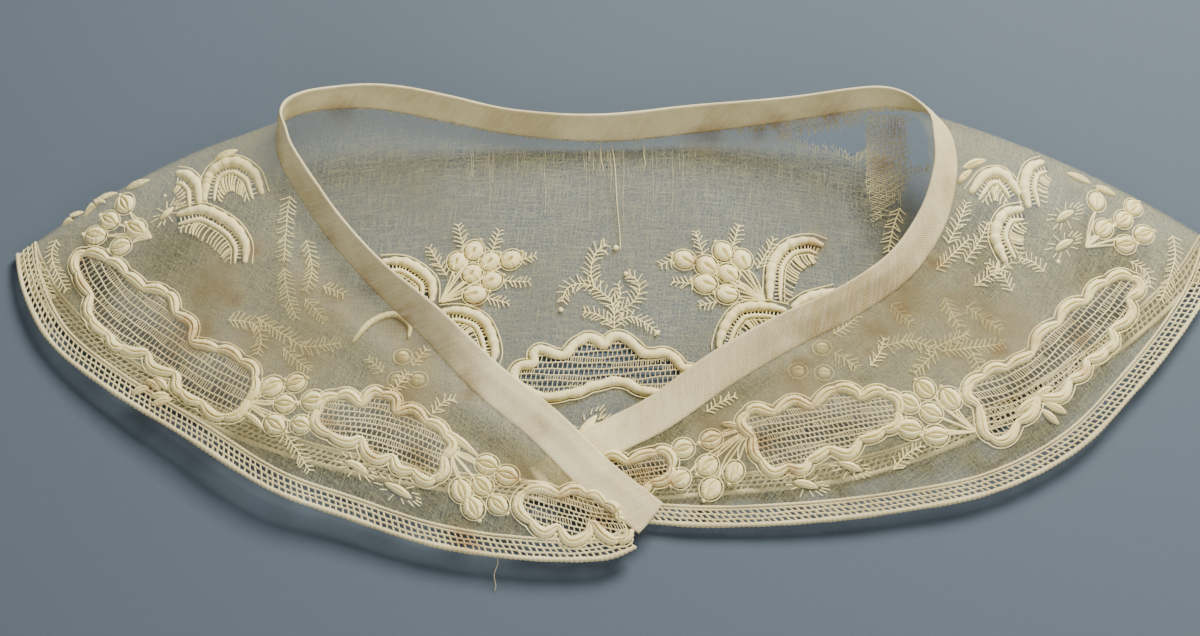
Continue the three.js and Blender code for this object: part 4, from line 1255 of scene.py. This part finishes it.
# %% Buds at the ends of sprigs, berries seen through the fronts, and a scroll on the back panel
BUDS = [
    ("back", (616, 248), 1.7), ("back", (561, 310), 1.5), ("back", (626, 274), 1.5),
    ("back", (657, 333), 1.5), ("back", (403, 357), 3.4), ("back", (397, 380), 3.6),
    ("back", (418, 380), 3.6), ("back", (822, 348), 3.4), ("back", (798, 371), 3.4),
    ("back", (824, 373), 3.4), ("left", (165, 196), 1.0), ("right", (1058, 262), 1.4),
]
BERRY_FROM = 3                 # from this size on a bud is a berry seen through the front, with a ring
SCROLL = [(-72, 36), (-70, 43), (-64, 47), (-57, 45), (-55, 41)]     # along and up from the hem, in mm
bud_strokes, bud_rings = [], []
for layer, pixel, size in BUDS:
    ends = at(layer, [(pixel[0] - size * 1.9, pixel[1]), (pixel[0] + size * 1.9, pixel[1])])
    run = smooth_run([ends[0], ends.mean(0), ends[1]], STITCH / 2)
    shape = leaf_shape(len(run), 0.5)
    bud_strokes.append(satin(run, size * shape, 0.4 * size * shape, 0.5 if size > BERRY_FROM else 0.0))
    if size > BERRY_FROM:
        point, _, _, normal = cloth_frame(run)
        forward = unit(point[-1] - point[0])
        side = np.cross(normal[0], forward)
        turn = np.linspace(0, 2 * math.pi, 21)
        reach = np.outer(np.cos(turn), forward * (size * 0.5 + 0.9))
        reach = reach + np.outer(np.sin(turn), side * (size * 0.5 + 0.5))
        bud_rings.append(point.mean(0) + reach + normal[0] * 0.15)
scroll = smooth_run(np.concatenate([spot(*place) for place in SCROLL]), STITCH / 2)
bud_strokes.append(satin(scroll, 1.9 * leaf_shape(len(scroll), 0.3), 0.9))
add_sweep("buds_and_scroll", bud_strokes)
add_threads("bud_rings", bud_rings, 0.15)
print(len(BUDS), "buds")

# %% [markdown]
# ## Loose threads and wear
# Old muslin frays along its seam and where it has torn away from the band. Each loose thread is a
# fine tube that starts on the cloth. The hanging piece at the right corner is threads alone, crinkled
# because they were woven once.

# %% Raw threads along the seam at the back
SEAM_START, FRAYED_FROM, SEAM_END = 10.9, 17.4, 21.3
TEAR_TOP = 779                 # pixel across at which the torn edge starts
fringe = []
calm_places = dice.uniform(SEAM_START, FRAYED_FROM, 160)
for place in np.concatenate([calm_places, dice.uniform(FRAYED_FROM, SEAM_END, 420)]):
    depth = float(depth_at(np.array(place)))
    reach = dice.uniform(0.4, 1.1) if place < FRAYED_FROM else dice.uniform(0.6, 2.4)
    drift = dice.normal(0, 0.018)
    path = [(place, depth + 0.2), (place + drift * 0.4, depth - reach * 0.5), (place + drift, depth - reach)]
    fringe.append(laid(np.array(path), (0.3, 0.5, 0.2)))
for x in np.arange(TEAR_TOP, 862, 1.1):
    x = x + dice.normal(0, 0.4)
    slope = (x - TEAR_TOP) * 0.2
    below = (x + dice.normal(0, 1.5), 137 - slope + dice.uniform(1, 7))
    top, low = at("back", [(x, 131 - slope), below])
    fringe.append(laid(np.array([top, (top + low) / 2, low]), (0.2, 0.5, 0.3)))
for (x0, y0), (x1, y1) in zip(TEAR[6:], TEAR[7:] + TEAR[:1]):
    for share in np.arange(0, 1, 0.08):
        x = x0 + (x1 - x0) * share + dice.normal(0, 0.5)
        y = y0 + (y1 - y0) * share
        line = at("back", [(x, y + 3), (x + dice.normal(0, 1), y - dice.uniform(0, 2)),
                           (x + dice.normal(0, 2), y - dice.uniform(2, 7))])
        fringe.append(laid(line, (0.1, 0.3, 0.5)))
add_threads("seam_fringe", fringe, 0.06, net_finish)
print(len(fringe), "raw threads")

# %% The torn piece: crinkled threads that hang from the seam
torn = []
for y in np.arange(115, 222, 1.35):
    left_edge = 866 + dice.normal(0, 1.2) + (6 if y > 195 else 0)
    right_edge = np.interp(y, [116, 150, 190, 222], [909, 911, 909, 880]) + dice.normal(0, 2.5)
    x = np.arange(left_edge, right_edge, 1.6)
    wave = 1.1 * np.sin(x / 1.9 + y) * np.clip((y - 130) / 40, 0.3, 1)
    slope = -0.1 * (x - left_edge) * np.clip((y - 130) / 60, 0, 1)
    line = at("back", np.stack([x, y + wave + slope], 1))
    torn.append(laid(line, 0.5 + 0.25 * np.sin(x / 2.3 + y)))
for x in np.arange(867, 905, 3.1):
    y = np.arange(116, 200 + dice.uniform(-10, 10), 3)
    line = at("back", np.stack([x + 0.8 * np.sin(y / 5 + x), y], 1))
    torn.append(laid(line, 0.35 + 0.2 * np.sin(y / 3)))
add_threads("torn_threads", torn, dice.uniform(0.05, 0.1, len(torn)), net_finish)
print(len(torn), "torn threads")

# %% Pulled threads below the band, one thick slub, and a loose end under the hem
SLUBS = (((611, 146), (620, 250), 0.17), ((598, 142), (603, 172), 0.12), ((643, 144), (645, 166), 0.12))
pulled, radii = [], []
for x in np.concatenate([dice.uniform(470, 700, 34), dice.uniform(590, 614, 9)]):
    y = np.linspace(150, 156 + dice.exponential(22), 9)
    line = at("back", np.stack([x + 0.6 * np.sin(y / 9 + x), y], 1))
    pulled.append(laid(line, 0.12))
    radii.append(dice.uniform(0.025, 0.05))
for (x0, y0), (x1, y1), thick in SLUBS:
    share = np.linspace(0, 1, 22)
    x = x0 + (x1 - x0) * share ** 0.6 + 0.5 * np.sin(share * 9)
    pulled.append(laid(at("back", np.stack([x, y0 + (y1 - y0) * share], 1)), 0.2))
    radii.append(thick)
leaving = cloth_point(*at("left", [(497, 557)])[0])
loose = leaving + np.outer(np.linspace(0, 1, 12), [-0.8, -7.5, -leaving[2] + 0.3])
loose[:, 0] += 0.35 * np.sin(np.linspace(0, 9, 12))
pulled.append(loose)
radii.append(0.09)
add_threads("pulled_threads", pulled, radii, net_finish)
print(len(pulled), "pulled threads")

# %% [markdown]
# The collar is one sheet of cloth, folded.

# %% [markdown]
# ## Floor and light
# A pale blue-grey floor lets the sheer cloth read, as the paper under the real collar does. A soft
# window above and behind makes hems and padding throw short shadows forwards, and a wide faint panel
# in front fills them.

# %% Floor
FLOOR_DROP = 0.00005           # metres below zero, so that it is just under the lowest thread
bm = bmesh.new()
bmesh.ops.create_grid(bm, x_segments=8, y_segments=8, size=1.5)
floor_mesh = bpy.data.meshes.new("floor")
bm.to_mesh(floor_mesh)
bm.free()
floor = bpy.data.objects.new("floor", floor_mesh)
floor.location.z = -FLOOR_DROP
bpy.context.collection.objects.link(floor)
floor_finish, tree, shader, where, _ = start_finish("pale_paper", 0.95)
tone = blend(tree, noise(tree, where, 900, 3)["Fac"], (0.068, 0.092, 0.117, 1), (0.08, 0.104, 0.129, 1))
tree.links.new(tone, shader.inputs["Base Color"])
floor_mesh.materials.append(floor_finish)
print("floor laid")

# %% Lights
def add_panel(name, place, size, power, colour):
    light_data = bpy.data.lights.new(name, "AREA")
    light_data.shape = "RECTANGLE"
    light_data.size, light_data.size_y = size
    light_data.energy = power
    light_data.color = colour
    light = bpy.data.objects.new(name, light_data)
    bpy.context.collection.objects.link(light)
    light.location = place
    light.rotation_euler = (-Vector(place)).to_track_quat("-Z", "Y").to_euler()


add_panel("window", place=(0.27, 0.45, 0.5), size=(0.36, 0.28), power=13.5, colour=(1, 0.97, 0.9))
add_panel("fill", place=(0.1, -0.75, 0.6), size=(1.0, 0.7), power=5.2, colour=(1, 0.98, 0.95))
world = bpy.data.worlds.new("studio")
bpy.context.scene.world = world
world.use_nodes = True
sky = world.node_tree.nodes["Background"].inputs
sky["Color"].default_value = (0.8, 0.87, 1, 1)
sky["Strength"].default_value = 0.24
print("lights on")
